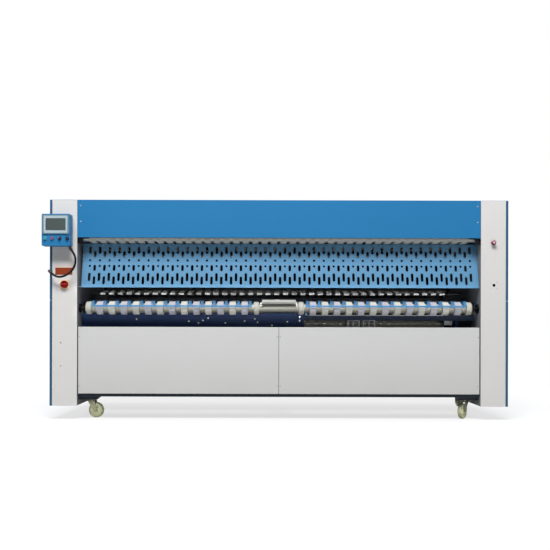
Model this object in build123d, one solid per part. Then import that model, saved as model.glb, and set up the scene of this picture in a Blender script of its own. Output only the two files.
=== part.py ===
from build123d import *
import math
import os

# Linen folding machine, seen from the front: +X right, +Y to the rear, +Z up, millimetres.
# While it is drawn, X = 0 is the middle of the machine, Y = 0 the front plane of the two
# white columns and Z = 0 the floor. Saving moves it to the bottom centre of its bounding box.

# Overall sizes
WIDTH = 3680
HEIGHT = 1766
DEPTH = 1100
CABINET_WIDTH = 220
CABINET_BOTTOM = 112
SIDE_COVER = 21
SHEET = 2
END_PLATE = 6
HALF = WIDTH / 2
INNER = HALF - CABINET_WIDTH
COLUMN_OUT = HALF - SIDE_COVER
SIDE_SEAM_Z = 960

# Covers between the end cabinets
TOP_COVER_BOTTOM = 1464
PANEL_TOP = 746
PANEL_BOTTOM = 209
PANEL_FACE_Y = 12
PANEL_GAP = 6
PANEL_DEPTH = 12
TRAY = 25
REAR_OPEN_BOTTOM = 700
REAR_OPEN_TOP = 860

# Base frame and beams
RAIL = 60
RAIL_WALL = 3
RAIL_BOTTOM = 184
RAIL_Y = 25

# Rollers: (y, z) of each axis
SHAFT_R = 12.5
SHAFT_FIT = 0.05
TOP_AXIS = (50, 1462)
TOP_R = 28
FOLD_AXIS = (930, 1085)
FOLD_R = 30
FRONT_AXIS = (75, 900)
FRONT_TUBE_R = 38
FRONT_TUBE_HALF = 1570
FRONT_PULLEY_R = 50
FRONT_WHEEL_R = 52
DELIVERY_AXIS = (320, 775)
DELIVERY_R = 34
ROLLER_HALF = 1588
TUBE_WALL = 4
TUBE_DISC = 12
SHAFT_SHORT = INNER + 12
SHAFT_LONG = INNER + 132

# Flat belts
BELT_GAP = 1.0
BELT = 2.5
TOP_BELTS = 40
TOP_BELT_PITCH = 76.9
TOP_BELT_WIDTH = 50
FOLD_BELT_WIDTH = 44
FOLD_BELT_PITCH = 76.3
FOLD_BELT_SHIFT = -44
TOP_NOSE = (700, 1462)
FOLD_NOSE = (490, 1035)
FOLD_NOSE_R = 6
FRONT_BELTS = 13
FRONT_BELT_PITCH = 97.5
FRONT_BELT_FIRST = 276
FRONT_BELT_WIDTH = 50
FRONT_NOSE = (600, 969)
FRONT_NOSE_R = 11
DELIVERY_BELTS = 17
DELIVERY_BELT_PITCH = 68.3
DELIVERY_BELT_FIRST = 221
DELIVERY_BELT_WIDTH = 52
DELIVERY_NOSE = (1040, 775)

# Toothed drive belts, pitch 10 mm
TOOTH_PITCH = 10
TOP_TEETH = 20
FOLD_TEETH = 20
FRONT_TEETH = 35
DELIVERY_TEETH = 23
PULLEY_WIDTH = 20
PULLEY_X = INNER + 22
DRIVE_BELT_WIDTH = 16

# Guide plate: (y, z) down its front face
GUIDE_TOP = (103, 1426)
GUIDE_BEND = (83, 1268)
GUIDE_FOOT = (38, 1066)
GUIDE_HALF = 1608
GUIDE_SHIFT = 10
SLOT_PITCH = 79.4
SLOT_WIDTH = 21
SLOTS = 40
DOT_R = 9.5

# Strip with fingers in front of the belts
COMB_Y = 9
COMB_TOP = 958
COMB_STRIP = (908, 922)

# Beam behind the front roller: y from, y to, z from, z to
FRONT_BEAM = (156, 196, 803, 845)

# Bolts of the navy panel behind the front roller: (x, z)
PANEL_BOLTS = [
    (-1171, 810), (-739, 794), (-660, 779), (-623, 801), (-581, 820), (-438, 780), (-279, 796),
    (-194, 814), (-172, 786), (-53, 760), (74, 791), (174, 801), (174, 832),
]

# Casters
WHEEL_R = 62.5
WHEEL_WIDTH = 32
CASTER_HEIGHT = 156
FRONT_TRAIL = 38
REAR_TRAIL = 28
AXLE_R = 6
FRONT_CASTER = (1536, 150)
REAR_CASTER = (1722, 900)
CASTERS = {
    "front_left": (-FRONT_CASTER[0], FRONT_CASTER[1], FRONT_TRAIL, -8),
    "front_right": (FRONT_CASTER[0], FRONT_CASTER[1], FRONT_TRAIL, 228),
    "rear_left": (-REAR_CASTER[0], REAR_CASTER[1], REAR_TRAIL, 90),
    "rear_right": (REAR_CASTER[0], REAR_CASTER[1], REAR_TRAIL, 90),
}

# Console
CONSOLE_X = -1764.5
CONSOLE_BOTTOM = 1386
CONSOLE_WIDTH = 225
CONSOLE_HEIGHT = 252
CONSOLE_FACE_Y = -85
CONSOLE_BACK_Y = -15
BEZEL = (217, 152, 7)
BEZEL_TOP_GAP = 8
SCREEN = (158, 96)
CONTROL_Z = CONSOLE_BOTTOM + 58.5
CONTROL_X = {"green": -86, "red": -29, "selector": 30, "buzzer": 90}
COLLAR_R = 15
COLLAR_PROUD = 6
BUTTON_R = 11.7
BUTTON_HOLE_R = 12
PRESS = 4

# Controls and plates on the columns
ISOLATOR = (-1720, 1086)
STOP = (1717, 1427)
SOCKET = (1725, 1087)
SOCKET_R = 10.5
LABEL = (-1795, -1658, 1163, 1242)

# Conduit from the console to the left side cover: (x, z) of its route at one depth
CONDUIT_R = 8.5
CONDUIT_Y = -50
CONDUIT_ROUTE = [
    (-1655, 1362),
    (-1633, 1332),
    (-1617, 1287),
    (-1622, 1237),
    (-1646, 1192),
    (-1688, 1158),
    (-1739, 1140),
    (-1784, 1149),
    (-1815, 1178),
]
CONDUIT_FIT_R = 11.5
ELBOW_REACH = 18
GLAND_REACH = 14

# Fold knife
KNIFE_Y = 810
KNIFE_STROKE = 40
BLADE_HEIGHT = 32
KNIFE_HALF = 500
BARREL_R = 25
BARREL_BORE_R = 20
BARREL_BOTTOM = 905
BARREL_TOP = 1000
BARREL_END = 8
PISTON = 16
ROD_R = 8
KNIFE_BEAM = (735, 783, 945, 993)

# The box round everything, from which the saved origin comes
KNOB_PROUD = 20
CONSOLE_LEFT = CONSOLE_X - CONSOLE_WIDTH / 2
ORIGIN_X = (CONSOLE_LEFT + HALF) / 2
ORIGIN_Y = (CONSOLE_FACE_Y - KNOB_PROUD + DEPTH) / 2


def span(x0, x1, y0, y1, z0, z1):
    """Box between two corners."""
    centre = ((x0 + x1) / 2, (y0 + y1) / 2, (z0 + z1) / 2)
    return Pos(*centre) * Box(abs(x1 - x0), abs(y1 - y0), abs(z1 - z0))


def rod_x(radius, x0, x1, axis):
    """Cylinder along X about the axis (y, z)."""
    return Pos((x0 + x1) / 2, axis[0], axis[1]) * Rot(0, 90, 0) * Cylinder(radius, abs(x1 - x0))


def rod_y(radius, x, y0, y1, z):
    """Cylinder along Y."""
    return Pos(x, (y0 + y1) / 2, z) * Rot(90, 0, 0) * Cylinder(radius, abs(y1 - y0))


def rod_z(radius, x, y, z0, z1):
    """Cylinder along Z."""
    return Pos(x, y, (z0 + z1) / 2) * Cylinder(radius, abs(z1 - z0))


def bolt_head(x, y, z, radius=6, height=4):
    """Low hexagon head standing off a wall towards the front."""
    outline = RegularPolygon(radius, 6)
    return Plane((x, y, z), x_dir=(1, 0, 0), z_dir=(0, -1, 0)) * extrude(outline, height)


def screw_head(x, y, z, radius=5, height=2):
    """Round screw head on a wall that faces the front."""
    return rod_y(radius, x, y - height, y, z)


def tray(x0, x1, y0, y1, z0, z1, open_side):
    """Folded sheet cover: a box of sheet, open on one side."""
    cut = {
        "rear": (x0 + SHEET, x1 - SHEET, y0 + SHEET, y1 + 1, z0 + SHEET, z1 - SHEET),
        "front": (x0 + SHEET, x1 - SHEET, y0 - 1, y1 - SHEET, z0 + SHEET, z1 - SHEET),
        "right": (x0 + SHEET, x1 + 1, y0 + SHEET, y1 - SHEET, z0 + SHEET, z1 - SHEET),
        "left": (x0 - 1, x1 - SHEET, y0 + SHEET, y1 - SHEET, z0 + SHEET, z1 - SHEET),
    }
    return span(x0, x1, y0, y1, z0, z1) - span(*cut[open_side])


def square_tube(x0, x1, y0, y1, z0, z1, along):
    """Hollow rail, open at both ends."""
    wall = RAIL_WALL
    if along == "x":
        inside = span(x0 - 1, x1 + 1, y0 + wall, y1 - wall, z0 + wall, z1 - wall)
    else:
        inside = span(x0 + wall, x1 - wall, y0 - 1, y1 + 1, z0 + wall, z1 - wall)
    return span(x0, x1, y0, y1, z0, z1) - inside


def save(name, *pieces):
    """Write the node's pieces as separate solids in one file."""
    shift = Pos(-ORIGIN_X, -ORIGIN_Y, 0)
    solids = [shift * solid for piece in pieces for solid in piece.solids()]
    group = Compound(solids) if len(solids) > 1 else solids[0]
    export_step(group, f"parts/{name}.step")


def base_rails():
    top = RAIL_BOTTOM + RAIL
    front = (RAIL_Y, RAIL_Y + RAIL)
    rear = (DEPTH - RAIL_Y - RAIL, DEPTH - RAIL_Y)
    rails = [square_tube(-INNER, INNER, y0, y1, RAIL_BOTTOM, top, "x") for y0, y1 in (front, rear)]
    for x in (-INNER + RAIL / 2, 0, INNER - RAIL / 2):
        half = RAIL / 2
        rails.append(square_tube(x - half, x + half, front[1], rear[0], RAIL_BOTTOM, top, "y"))
    return rails


def caster_brackets():
    pieces = []
    for side in (-1, 1):
        z0, z1 = CASTER_HEIGHT, RAIL_BOTTOM
        front = span(side * 1466, side * INNER, 60, 240, z0, z1)
        lower_edges = front.edges().filter_by(Axis.Y).group_by(Axis.Z)[0]
        inner_edge = lower_edges.sort_by(lambda edge: abs(edge.center().X))[0]
        pieces.append(chamfer(inner_edge, 20))
        pieces.append(span(side * (INNER + END_PLATE), side * (COLUMN_OUT - 3), 810, 990, z0, z1))
    return pieces


def caster_top_plates():
    plates = []
    for x, y, _, _ in CASTERS.values():
        plate = span(x - 50, x + 50, y - 42, y + 42, CASTER_HEIGHT - 4, CASTER_HEIGHT)
        plates.append(plate - rod_z(AXLE_R + SHAFT_FIT, x, y, CASTER_HEIGHT - 5, CASTER_HEIGHT + 1))
        for dx in (-39, 39):
            for dy in (-31, 31):
                head = Pos(x + dx, y + dy, CASTER_HEIGHT - 9) * extrude(RegularPolygon(7, 6), 5)
                plates.append(head)
    return plates


def caster_fork(x, y, trail, turn):
    """Fork with its kingpin and axle bolt, wheel offset along +X before it is turned."""
    crown_top = CASTER_HEIGHT - 4.5
    leg_in = WHEEL_WIDTH / 2 + 3
    crown = span(-26, 30, -leg_in - 4, leg_in + 4, WHEEL_R * 2 + 8, WHEEL_R * 2 + 14)
    race = rod_z(30, 0, 0, WHEEL_R * 2 + 14, crown_top)
    pin = rod_z(AXLE_R, 0, 0, crown_top, CASTER_HEIGHT - 0.5)
    fork = crown + race + pin
    for y0 in (-leg_in - 4, leg_in):
        head_line = Pos(2, WHEEL_R * 2 + 10) * Rectangle(56, 8)
        eye = Pos(trail, WHEEL_R) * Circle(14)
        leg = make_hull(head_line.edges() + eye.edges())
        fork += Plane((0, y0 + 4, 0), x_dir=(1, 0, 0), z_dir=(0, -1, 0)) * extrude(leg, 4)
    axle = rod_y(AXLE_R, trail, -leg_in - 4, leg_in + 4, WHEEL_R)
    nut = Pos(trail, 0, WHEEL_R) * Rot(90, 0, 0) * extrude(RegularPolygon(10, 6), leg_in + 10)
    head = Pos(trail, 0, WHEEL_R) * Rot(-90, 0, 0) * extrude(RegularPolygon(10, 6), leg_in + 10)
    ends = (nut + head) - span(-99, 199, -leg_in - 4, leg_in + 4, 0, 199)
    return Pos(x, y, 0) * Rot(0, 0, turn) * (fork + axle + ends)


def caster_wheel(x, y, trail, turn):
    """Wheel with a rounded tread, a dished hub and a bore on the axle bolt."""
    half = WHEEL_WIDTH / 2
    outline = Pos(WHEEL_R / 2, 0) * Rectangle(WHEEL_R, WHEEL_WIDTH)
    rim = outline.vertices().group_by(Axis.X)[-1]
    profile = fillet(rim, 10)
    for side in (-1, 1):
        profile -= Pos(36, side * half) * Rectangle(30, 12)
    profile -= Pos(0, 0) * Rectangle(2 * (AXLE_R + SHAFT_FIT), WHEEL_WIDTH + 2)
    wheel = revolve(Plane.XY * profile, Axis.Y)
    return Pos(x, y, 0) * Rot(0, 0, turn) * Pos(trail, 0, WHEEL_R) * wheel


def end_frame(side):
    """End plate with a return along each upright edge and holes for the shafts."""
    depth = DEPTH - 2 * SHEET - 2
    height = HEIGHT - SHEET - 1 - CABINET_BOTTOM - 2
    middle = Pos(side * (INNER + END_PLATE / 2), DEPTH / 2)
    section = middle * Rectangle(END_PLATE, depth)
    for end in (-1, 1):
        lip = Pos(side * (INNER + 15), DEPTH / 2 + end * (depth / 2 - 2))
        section += lip * Rectangle(30, 4)
    frame = Pos(0, 0, CABINET_BOTTOM + 2) * extrude(section, height)
    for axis in (TOP_AXIS, FOLD_AXIS, FRONT_AXIS, DELIVERY_AXIS):
        frame -= rod_x(SHAFT_R + 8, side * (INNER - 5), side * (INNER + END_PLATE + 5), axis)
    return frame + guide_lugs(side)


def guide_lugs(side):
    """Lugs on the end plate that the top and the bottom return of the guide plate rest on."""
    reach, thick = 40, 6
    x0, x1 = side * (INNER - reach), side * INNER
    (top_y, top_z), (foot_y, foot_z) = GUIDE_TOP, GUIDE_FOOT
    upper = span(x0, x1, top_y + 4, top_y + 20, top_z - SHEET - thick, top_z - SHEET)
    return upper + span(x0, x1, foot_y + 6, foot_y + 26, foot_z + SHEET, foot_z + SHEET + thick)


def column_cover(side):
    """White front cover of an end cabinet, with a return along its outer edge."""
    inner_x, outer_x = side * INNER, side * COLUMN_OUT
    top = HEIGHT - SHEET
    face = span(inner_x, outer_x, 0, SHEET, CABINET_BOTTOM, top)
    return face + span(outer_x - side * SHEET, outer_x, 0, TRAY, CABINET_BOTTOM, top)


def left_column_cover():
    hole = rod_y(7, ISOLATOR[0], -1, SHEET + 1, ISOLATOR[1])
    return column_cover(-1) - hole


def right_column_cover():
    stop_hole = rod_y(BUTTON_HOLE_R, STOP[0], -1, SHEET + 1, STOP[1])
    socket_hole = rod_y(SOCKET_R + 1, SOCKET[0], -1, SHEET + 1, SOCKET[1])
    return column_cover(1) - stop_hole - socket_hole


def side_covers():
    """Blue trays, an upper and a lower one, that close the outer side of each end cabinet."""
    covers = []
    elbow_x, elbow_z = elbow_centre()
    for side in (-1, 1):
        x0, x1 = sorted((side * COLUMN_OUT, side * HALF))
        open_side = "left" if side > 0 else "right"
        covers.append(tray(x0, x1, 0, DEPTH, CABINET_BOTTOM, SIDE_SEAM_Z - 1, open_side))
        upper = tray(x0, x1, 0, DEPTH, SIDE_SEAM_Z + 1, HEIGHT, open_side)
        covers.append(upper - rod_y(7.1, elbow_x, -1, SHEET + 1, elbow_z))
    return covers


def roof_panels():
    """Flat top sheets: one over each cabinet and one between them."""
    z0, z1 = HEIGHT - SHEET, HEIGHT
    panels = [span(-INNER + 1, INNER - 1, SHEET, DEPTH - SHEET, z0, z1)]
    for side in (-1, 1):
        panels.append(span(side * (INNER + 1), side * (COLUMN_OUT - 0.5), 0, DEPTH, z0, z1))
    return panels


def top_front_cover():
    """Blue cover over the top roller, with a return along its lower edge."""
    face = span(-INNER + 2, INNER - 2, 0, SHEET, TOP_COVER_BOTTOM, HEIGHT)
    lip = span(-INNER + 2, INNER - 2, 0, 14, TOP_COVER_BOTTOM, TOP_COVER_BOTTOM + SHEET)
    return face + lip


def rear_covers():
    upper = tray(-INNER + 2, INNER - 2, DEPTH - TRAY, DEPTH, REAR_OPEN_TOP, HEIGHT - SHEET - 1, "front")
    panels = []
    for x0, x1 in ((-INNER + 4, -2), (2, INNER - 4)):
        panels.append(tray(x0, x1, DEPTH - TRAY, DEPTH, RAIL_BOTTOM, REAR_OPEN_BOTTOM, "front"))
    for side in (-1, 1):
        x0, x1 = side * (INNER + 1), side * (COLUMN_OUT - 0.5)
        panels.append(span(x0, x1, DEPTH - SHEET, DEPTH, CABINET_BOTTOM, HEIGHT - SHEET - 1))
    return upper, panels


def front_panels():
    """Two shallow white trays between the end cabinets."""
    panels = []
    for side in (-1, 1):
        x0, x1 = sorted((side * 1.5, side * (INNER - PANEL_GAP)))
        y0, y1 = PANEL_FACE_Y, PANEL_FACE_Y + PANEL_DEPTH
        panels.append(tray(x0, x1, y0, y1, PANEL_BOTTOM, PANEL_TOP, "rear"))
    return panels


def cover_screws():
    """Screw heads on the covers, the socket and the columns."""
    screws = []
    for x in (-1593, 1593):
        for z in (1718, 1590):
            screws.append(screw_head(x, 0, z))
    for x in (-1602, -12, 12, 1602):
        for z in (669, 273):
            screws.append(screw_head(x, PANEL_FACE_Y, z))
    for z in (620, 434):
        screws.append(screw_head(-1750, 0, z, radius=7))
    for dx in (-24, 24):
        for dz in (-24, 24):
            screws.append(screw_head(SOCKET[0] + dx, 0, SOCKET[1] + dz, radius=3.5))
    return screws


def guide_plate():
    """Perforated plate in two slopes, with a return along its top and its bottom edge."""
    line = Polyline(
        (GUIDE_TOP[0] + 20, GUIDE_TOP[1]),
        GUIDE_TOP,
        GUIDE_BEND,
        GUIDE_FOOT,
        (GUIDE_FOOT[0] + 26, GUIDE_FOOT[1]),
    )
    profile = make_face(offset(line, -SHEET, side=Side.LEFT))
    yz = Plane((GUIDE_SHIFT - GUIDE_HALF, 0, 0), x_dir=(0, 1, 0), z_dir=(1, 0, 0))
    plate = extrude(yz * profile, 2 * GUIDE_HALF)
    upper = [("long", 1373, 60), ("between", 1338, 52), ("long", 1289, 0)]
    lower = [("long", 1242, 0), ("between", 1226, 52), ("long", 1151, 70), ("between", 1123, 68)]
    return plate - slots(GUIDE_TOP, GUIDE_BEND, upper) - slots(GUIDE_BEND, GUIDE_FOOT, lower)


def slots(start, end, rows):
    """Cutters for the rows of one slope, square to its face; length 0 makes a round hole."""
    dy, dz = end[0] - start[0], start[1] - end[1]
    length = math.hypot(dy, dz)
    face = Plane((GUIDE_SHIFT, *end), x_dir=(1, 0, 0), z_dir=(0, -dz / length, -dy / length))
    holes = Sketch()
    for row, z, slot in rows:
        count = SLOTS if row == "long" else SLOTS - 1
        height = (z - end[1]) * length / dz
        hole = SlotOverall(slot, SLOT_WIDTH, rotation=90) if slot else Circle(DOT_R)
        holes += [Pos(0, height) * place * hole for place in GridLocations(SLOT_PITCH, 0, count, 1)]
    return face * extrude(holes, 3 * SHEET, both=True)


def loop(first, r1, second, r2, x, width):
    """Flat belt round two axes, r1 and r2 being the radii inside the belt."""
    outer = ring_hull(first, r1 + BELT, second, r2 + BELT)
    inner = ring_hull(first, r1, second, r2)
    plane = Plane((x - width / 2, 0, 0), x_dir=(0, 1, 0), z_dir=(1, 0, 0))
    return plane * extrude(outer - inner, width)


def ring_hull(first, r1, second, r2):
    circles = (Pos(*first) * Circle(r1)).edges() + (Pos(*second) * Circle(r2)).edges()
    return make_hull(circles)


def spread(count, pitch):
    """Centres of a row of like pieces about the middle of the machine."""
    return [(n - (count - 1) / 2) * pitch for n in range(count)]


def front_places():
    """Centres of the front roller's belts, in a left and a right group."""
    right = [FRONT_BELT_FIRST + n * FRONT_BELT_PITCH for n in range(FRONT_BELTS)]
    return [-x for x in reversed(right)] + right


def delivery_places():
    return [DELIVERY_BELT_FIRST + n * DELIVERY_BELT_PITCH for n in range(DELIVERY_BELTS)]


def top_belts():
    radius = TOP_R + BELT_GAP
    centres = spread(TOP_BELTS, TOP_BELT_PITCH)
    return [loop(TOP_AXIS, radius, TOP_NOSE, radius, x, TOP_BELT_WIDTH) for x in centres]


def fold_belts():
    centres = [x + FOLD_BELT_SHIFT for x in spread(TOP_BELTS, FOLD_BELT_PITCH)]
    drive, nose = FOLD_R + BELT_GAP, FOLD_NOSE_R + 0.1
    return [loop(FOLD_AXIS, drive, FOLD_NOSE, nose, x, FOLD_BELT_WIDTH) for x in centres]


def front_belts():
    drive, nose = FRONT_PULLEY_R + BELT_GAP, FRONT_NOSE_R + 0.1
    return [loop(FRONT_AXIS, drive, FRONT_NOSE, nose, x, FRONT_BELT_WIDTH) for x in front_places()]


def delivery_belts():
    radius = DELIVERY_R + BELT_GAP
    places = delivery_places()
    return [loop(DELIVERY_AXIS, radius, DELIVERY_NOSE, radius, x, DELIVERY_BELT_WIDTH) for x in places]


def nose_bars():
    """Fixed bars that the far ends of the flat belts slide round."""
    return [
        rod_x(TOP_R + BELT_GAP - 0.1, -INNER, INNER, TOP_NOSE),
        rod_x(FOLD_NOSE_R, -INNER, INNER, FOLD_NOSE),
        rod_x(FRONT_NOSE_R, -INNER, INNER, FRONT_NOSE),
        rod_x(DELIVERY_R + BELT_GAP - 0.1, 40, INNER, DELIVERY_NOSE),
        span(20, 40, 1000, 1075, RAIL_BOTTOM + RAIL, 830),
    ]


def pulley(side, teeth, axis):
    """Toothed pulley with a flange on each side, on the shaft's outer end."""
    radius = pulley_radius(teeth)
    x0 = side * PULLEY_X
    x1 = side * (PULLEY_X + PULLEY_WIDTH)
    wheel = rod_x(radius, x0, x1, axis)
    grooves = Sketch() + PolarLocations(radius, teeth) * Rectangle(4, 4)
    plane = Plane((x0 + side * 1.5, axis[0], axis[1]), x_dir=(0, 1, 0), z_dir=(side, 0, 0))
    wheel -= plane * extrude(grooves, PULLEY_WIDTH - 3)
    return wheel


def pulley_radius(teeth):
    return teeth * TOOTH_PITCH / (2 * math.pi)


def roller(radius, half, axis, drive_side):
    """Tube closed by a disc at each end, on a through shaft that is longer on the driven side."""
    left = SHAFT_LONG if drive_side < 0 else SHAFT_SHORT
    right = SHAFT_LONG if drive_side > 0 else SHAFT_SHORT
    bore = half - TUBE_DISC
    tube = rod_x(radius, -half, half, axis) - rod_x(radius - TUBE_WALL, -bore, bore, axis)
    return tube + rod_x(SHAFT_R, -left, right, axis)


def top_roller():
    return roller(TOP_R, ROLLER_HALF, TOP_AXIS, -1) + pulley(-1, TOP_TEETH, TOP_AXIS)


def fold_roller():
    return roller(FOLD_R, ROLLER_HALF, FOLD_AXIS, -1) + pulley(-1, FOLD_TEETH, FOLD_AXIS)


def front_roller_tube():
    return roller(FRONT_TUBE_R, FRONT_TUBE_HALF, FRONT_AXIS, 1) + pulley(1, FRONT_TEETH, FRONT_AXIS)


def delivery_roller():
    return roller(DELIVERY_R, ROLLER_HALF, DELIVERY_AXIS, 1) + pulley(1, DELIVERY_TEETH, DELIVERY_AXIS)


def front_roller_wheels():
    """Pulleys under the belts, and the wider rounded wheels at the ends and the middle."""
    wheels = [tube_wheel(x, FRONT_PULLEY_R, FRONT_BELT_WIDTH + 4, 3) for x in front_places()]
    wheels += [tube_wheel(side * 1543, FRONT_WHEEL_R, 56, 9) for side in (-1, 1)]
    wheels += [tube_wheel(side * 181, FRONT_WHEEL_R, 44, 8) for side in (-1, 1)]
    return wheels


def tube_wheel(x, radius, width, rounding):
    """Wheel on the front roller's tube, with rounded rims."""
    outline = Pos(radius / 2, 0) * Rectangle(radius, width)
    profile = fillet(outline.vertices().group_by(Axis.X)[-1], rounding)
    profile -= Rectangle(2 * (FRONT_TUBE_R + SHAFT_FIT), width + 2)
    wheel = revolve(Plane.XY * profile, Axis.Y)
    return Pos(x, *FRONT_AXIS) * Rot(0, 0, 90) * wheel


def roller_bearings():
    """Flange bearings on the end plates and the black brackets of the top roller."""
    rings = []
    for side in (-1, 1):
        for axis in (TOP_AXIS, FOLD_AXIS, FRONT_AXIS, DELIVERY_AXIS):
            inner_x, outer_x = side * (INNER - 14), side * INNER
            ring = rod_x(36, inner_x, outer_x, axis)
            ring -= rod_x(SHAFT_R + SHAFT_FIT, side * (INNER - 20), side * (INNER + 1), axis)
            rings.append(ring)
        rings.append(top_bracket(side))
    return rings


def top_bracket(side):
    """Black angled bracket in front of the end of the top roller."""
    y0, y1 = 6, 12
    low, top = 1415, TOP_COVER_BOTTOM - 1
    bracket = span(side * 1529, side * 1602, y0, y1, top - 8, top)
    bracket += span(side * 1575, side * 1602, y0, y1, low, top)
    return bracket + span(side * 1596, side * INNER, y0, y1, low, low + 25)


def drive_belts():
    """One toothed belt in each end cabinet."""
    x = PULLEY_X + PULLEY_WIDTH / 2
    left = (TOP_AXIS, pulley_radius(TOP_TEETH), FOLD_AXIS, pulley_radius(FOLD_TEETH), -x)
    right = (FRONT_AXIS, pulley_radius(FRONT_TEETH), DELIVERY_AXIS, pulley_radius(DELIVERY_TEETH), x)
    belts = []
    for first, r1, second, r2, centre in (left, right):
        belts.append(loop(first, r1 + BELT_GAP, second, r2 + BELT_GAP, centre, DRIVE_BELT_WIDTH))
    return belts


def drive_motor(side, axis):
    """Gearbox on the shaft, motor below it and an arm that stops it turning."""
    x0, x1 = INNER + 60, INNER + 128
    y, z = axis
    box = span(side * x0, side * x1, y - 50, y + 50, z - 62, z + 62)
    box -= rod_x(SHAFT_R + SHAFT_FIT, side * (x0 - 1), side * (x1 + 6), axis)
    middle = side * (x0 + x1) / 2
    box += rod_z(48, middle, y, z - 270, z - 62)
    box += span(side * (INNER + END_PLATE), side * (x0 + 10), y - 20, y + 20, z - 150, z - 120)
    return box


def comb_guides():
    """Light blue strips in front of the belts, with a finger in each gap between them."""
    combs = []
    _, _, _, beam_top = FRONT_BEAM
    for side in (-1, 1):
        comb = span(side * 214, side * 1505, COMB_Y, COMB_Y + 3, *COMB_STRIP)
        for n in range(FRONT_BELTS - 1):
            comb += comb_finger(side * (FRONT_BELT_FIRST + (n + 0.5) * FRONT_BELT_PITCH), 60)
        for x in (side * 230, side * 1494):
            comb += comb_finger(x, 170)
            comb += span(x - 10, x + 10, 167, 170, beam_top, COMB_TOP)
        combs.append(comb)
    return combs


def comb_finger(x, reach):
    """Finger that rises from the strip and lies back between two belts as far as y = reach."""
    finger = span(x - 10, x + 10, COMB_Y, COMB_Y + 3, COMB_STRIP[1], COMB_TOP)
    return finger + span(x - 10, x + 10, COMB_Y, reach, COMB_TOP - 3, COMB_TOP)


def centre_nozzle_box():
    """Pale box in front of the bare middle of the front roller, on two arms from the beam."""
    box = span(-136, 136, 2, 40, 934, 966)
    top = box.edges().filter_by(Axis.X).group_by(Axis.Z)[-1]
    box = fillet(top, 4)
    beam_y, _, _, beam_top = FRONT_BEAM
    for x in (-142, 142):
        box += span(x - 6, x + 6, 9, 30, 916, 948)
        box += span(x - 6, x + 6, 9, beam_y + 10, 940, 948)
        box += span(x - 6, x + 6, beam_y, beam_y + 10, beam_top, 948)
    return box


def belt_bed():
    """Sheet that the upper runs of the front belts lie over, folded down at its front edge."""
    flange_y, end_y = 172, 575
    crown_z = FRONT_AXIS[1] + FRONT_PULLEY_R
    rise = (FRONT_NOSE[1] + FRONT_NOSE_R - crown_z) / (FRONT_NOSE[0] - FRONT_AXIS[0])
    start_z = crown_z + (flange_y - FRONT_AXIS[0]) * rise - 1
    end_z = start_z + (end_y - flange_y) * rise
    sheet = Polygon(
        (flange_y, start_z), (end_y, end_z), (end_y, end_z - SHEET),
        (flange_y + SHEET, start_z - SHEET), (flange_y + SHEET, 872), (flange_y, 872),
        align=None,
    )
    yz = Plane((-INNER, 0, 0), x_dir=(0, 1, 0), z_dir=(1, 0, 0))
    bed = extrude(yz * sheet, 2 * INNER, dir=(1, 0, 0))
    return bed + span(-245, 245, flange_y, flange_y + SHEET, FRONT_BEAM[3], 874)


def inner_front_panel():
    """Navy panel behind the front roller, with its bolts, and a short one at the right."""
    side_panel = span(1390, INNER, 240, 243, 690, 803)
    panel = span(-INNER, 212, 150, 153, 690, 860)
    for x, z in PANEL_BOLTS:
        panel += bolt_head(x, 150, z, radius=5)
    return [panel, side_panel]


def cross_beams():
    """Beams between the end plates: front, knife and top."""
    front = square_tube(-INNER, INNER, *FRONT_BEAM, "x")
    knife = square_tube(-INNER, INNER, *KNIFE_BEAM, "x")
    top = square_tube(-INNER, INNER, 300, 360, 1640, 1700, "x")
    return [front, knife, top]


def delivery_brackets():
    """Bright brackets, clamp and post in the lower right opening."""
    brackets = []
    for x in (620, 750):
        frame = span(x - 52, x + 52, 160, 166, 748, 803)
        brackets.append(frame - span(x - 42, x + 42, 159, 167, 740, 793))
    brackets.append(span(1370, 1436, 160, 185, 765, 803) + rod_y(10, 1428, 150, 160, 792))
    brackets.append(span(1464, 1484, 160, 180, RAIL_BOTTOM + RAIL, 803))
    return brackets


def air_pipe():
    """Blowing pipe behind the guide plate with its row of jets."""
    axis = (200, 1330)
    pipe = rod_x(17, -INNER, INNER, axis)
    for x in spread(20, 2 * TOP_BELT_PITCH):
        pipe += rod_y(5, x, 165, 190, 1330)
    return pipe


def electrical_box():
    """Enclosure in the left cabinet on two mounting rails, and the door on its outer side."""
    y0, y1, z0, z1 = 350, 950, 240, 740
    box = tray(-1810, -1700, y0, y1, z0, z1, "left")
    for z in (310, 650):
        box += span(-1700, -INNER - END_PLATE, 500, 800, z, z + 30)
    return [box, span(-1812, -1810, y0, y1, z0, z1)]


def console_box():
    """Console shell: front and four sides, open at the back."""
    x0, x1 = CONSOLE_LEFT, CONSOLE_LEFT + CONSOLE_WIDTH
    z0, z1 = CONSOLE_BOTTOM, CONSOLE_BOTTOM + CONSOLE_HEIGHT
    shell = span(x0, x1, CONSOLE_FACE_Y, CONSOLE_BACK_Y, z0, z1)
    shell = fillet(shell.edges().filter_by(Axis.Y), 8)
    shell -= span(x0 + 2, x1 - 2, CONSOLE_FACE_Y + 2, CONSOLE_BACK_Y + 1, z0 + 2, z1 - 2)
    for dx in CONTROL_X.values():
        shell -= rod_y(BUTTON_HOLE_R, CONSOLE_X + dx, CONSOLE_FACE_Y - 1, CONSOLE_FACE_Y + 3, CONTROL_Z)
    shell -= span(CONSOLE_X - 96, CONSOLE_X + 96, CONSOLE_FACE_Y - 1, CONSOLE_FACE_Y + 3, *screen_hole())
    return shell


def screen_hole():
    """Heights of the cut-out that the screen's body goes through."""
    middle = CONSOLE_BOTTOM + CONSOLE_HEIGHT - BEZEL_TOP_GAP - BEZEL[1] / 2
    return middle - 65, middle + 65


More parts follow.
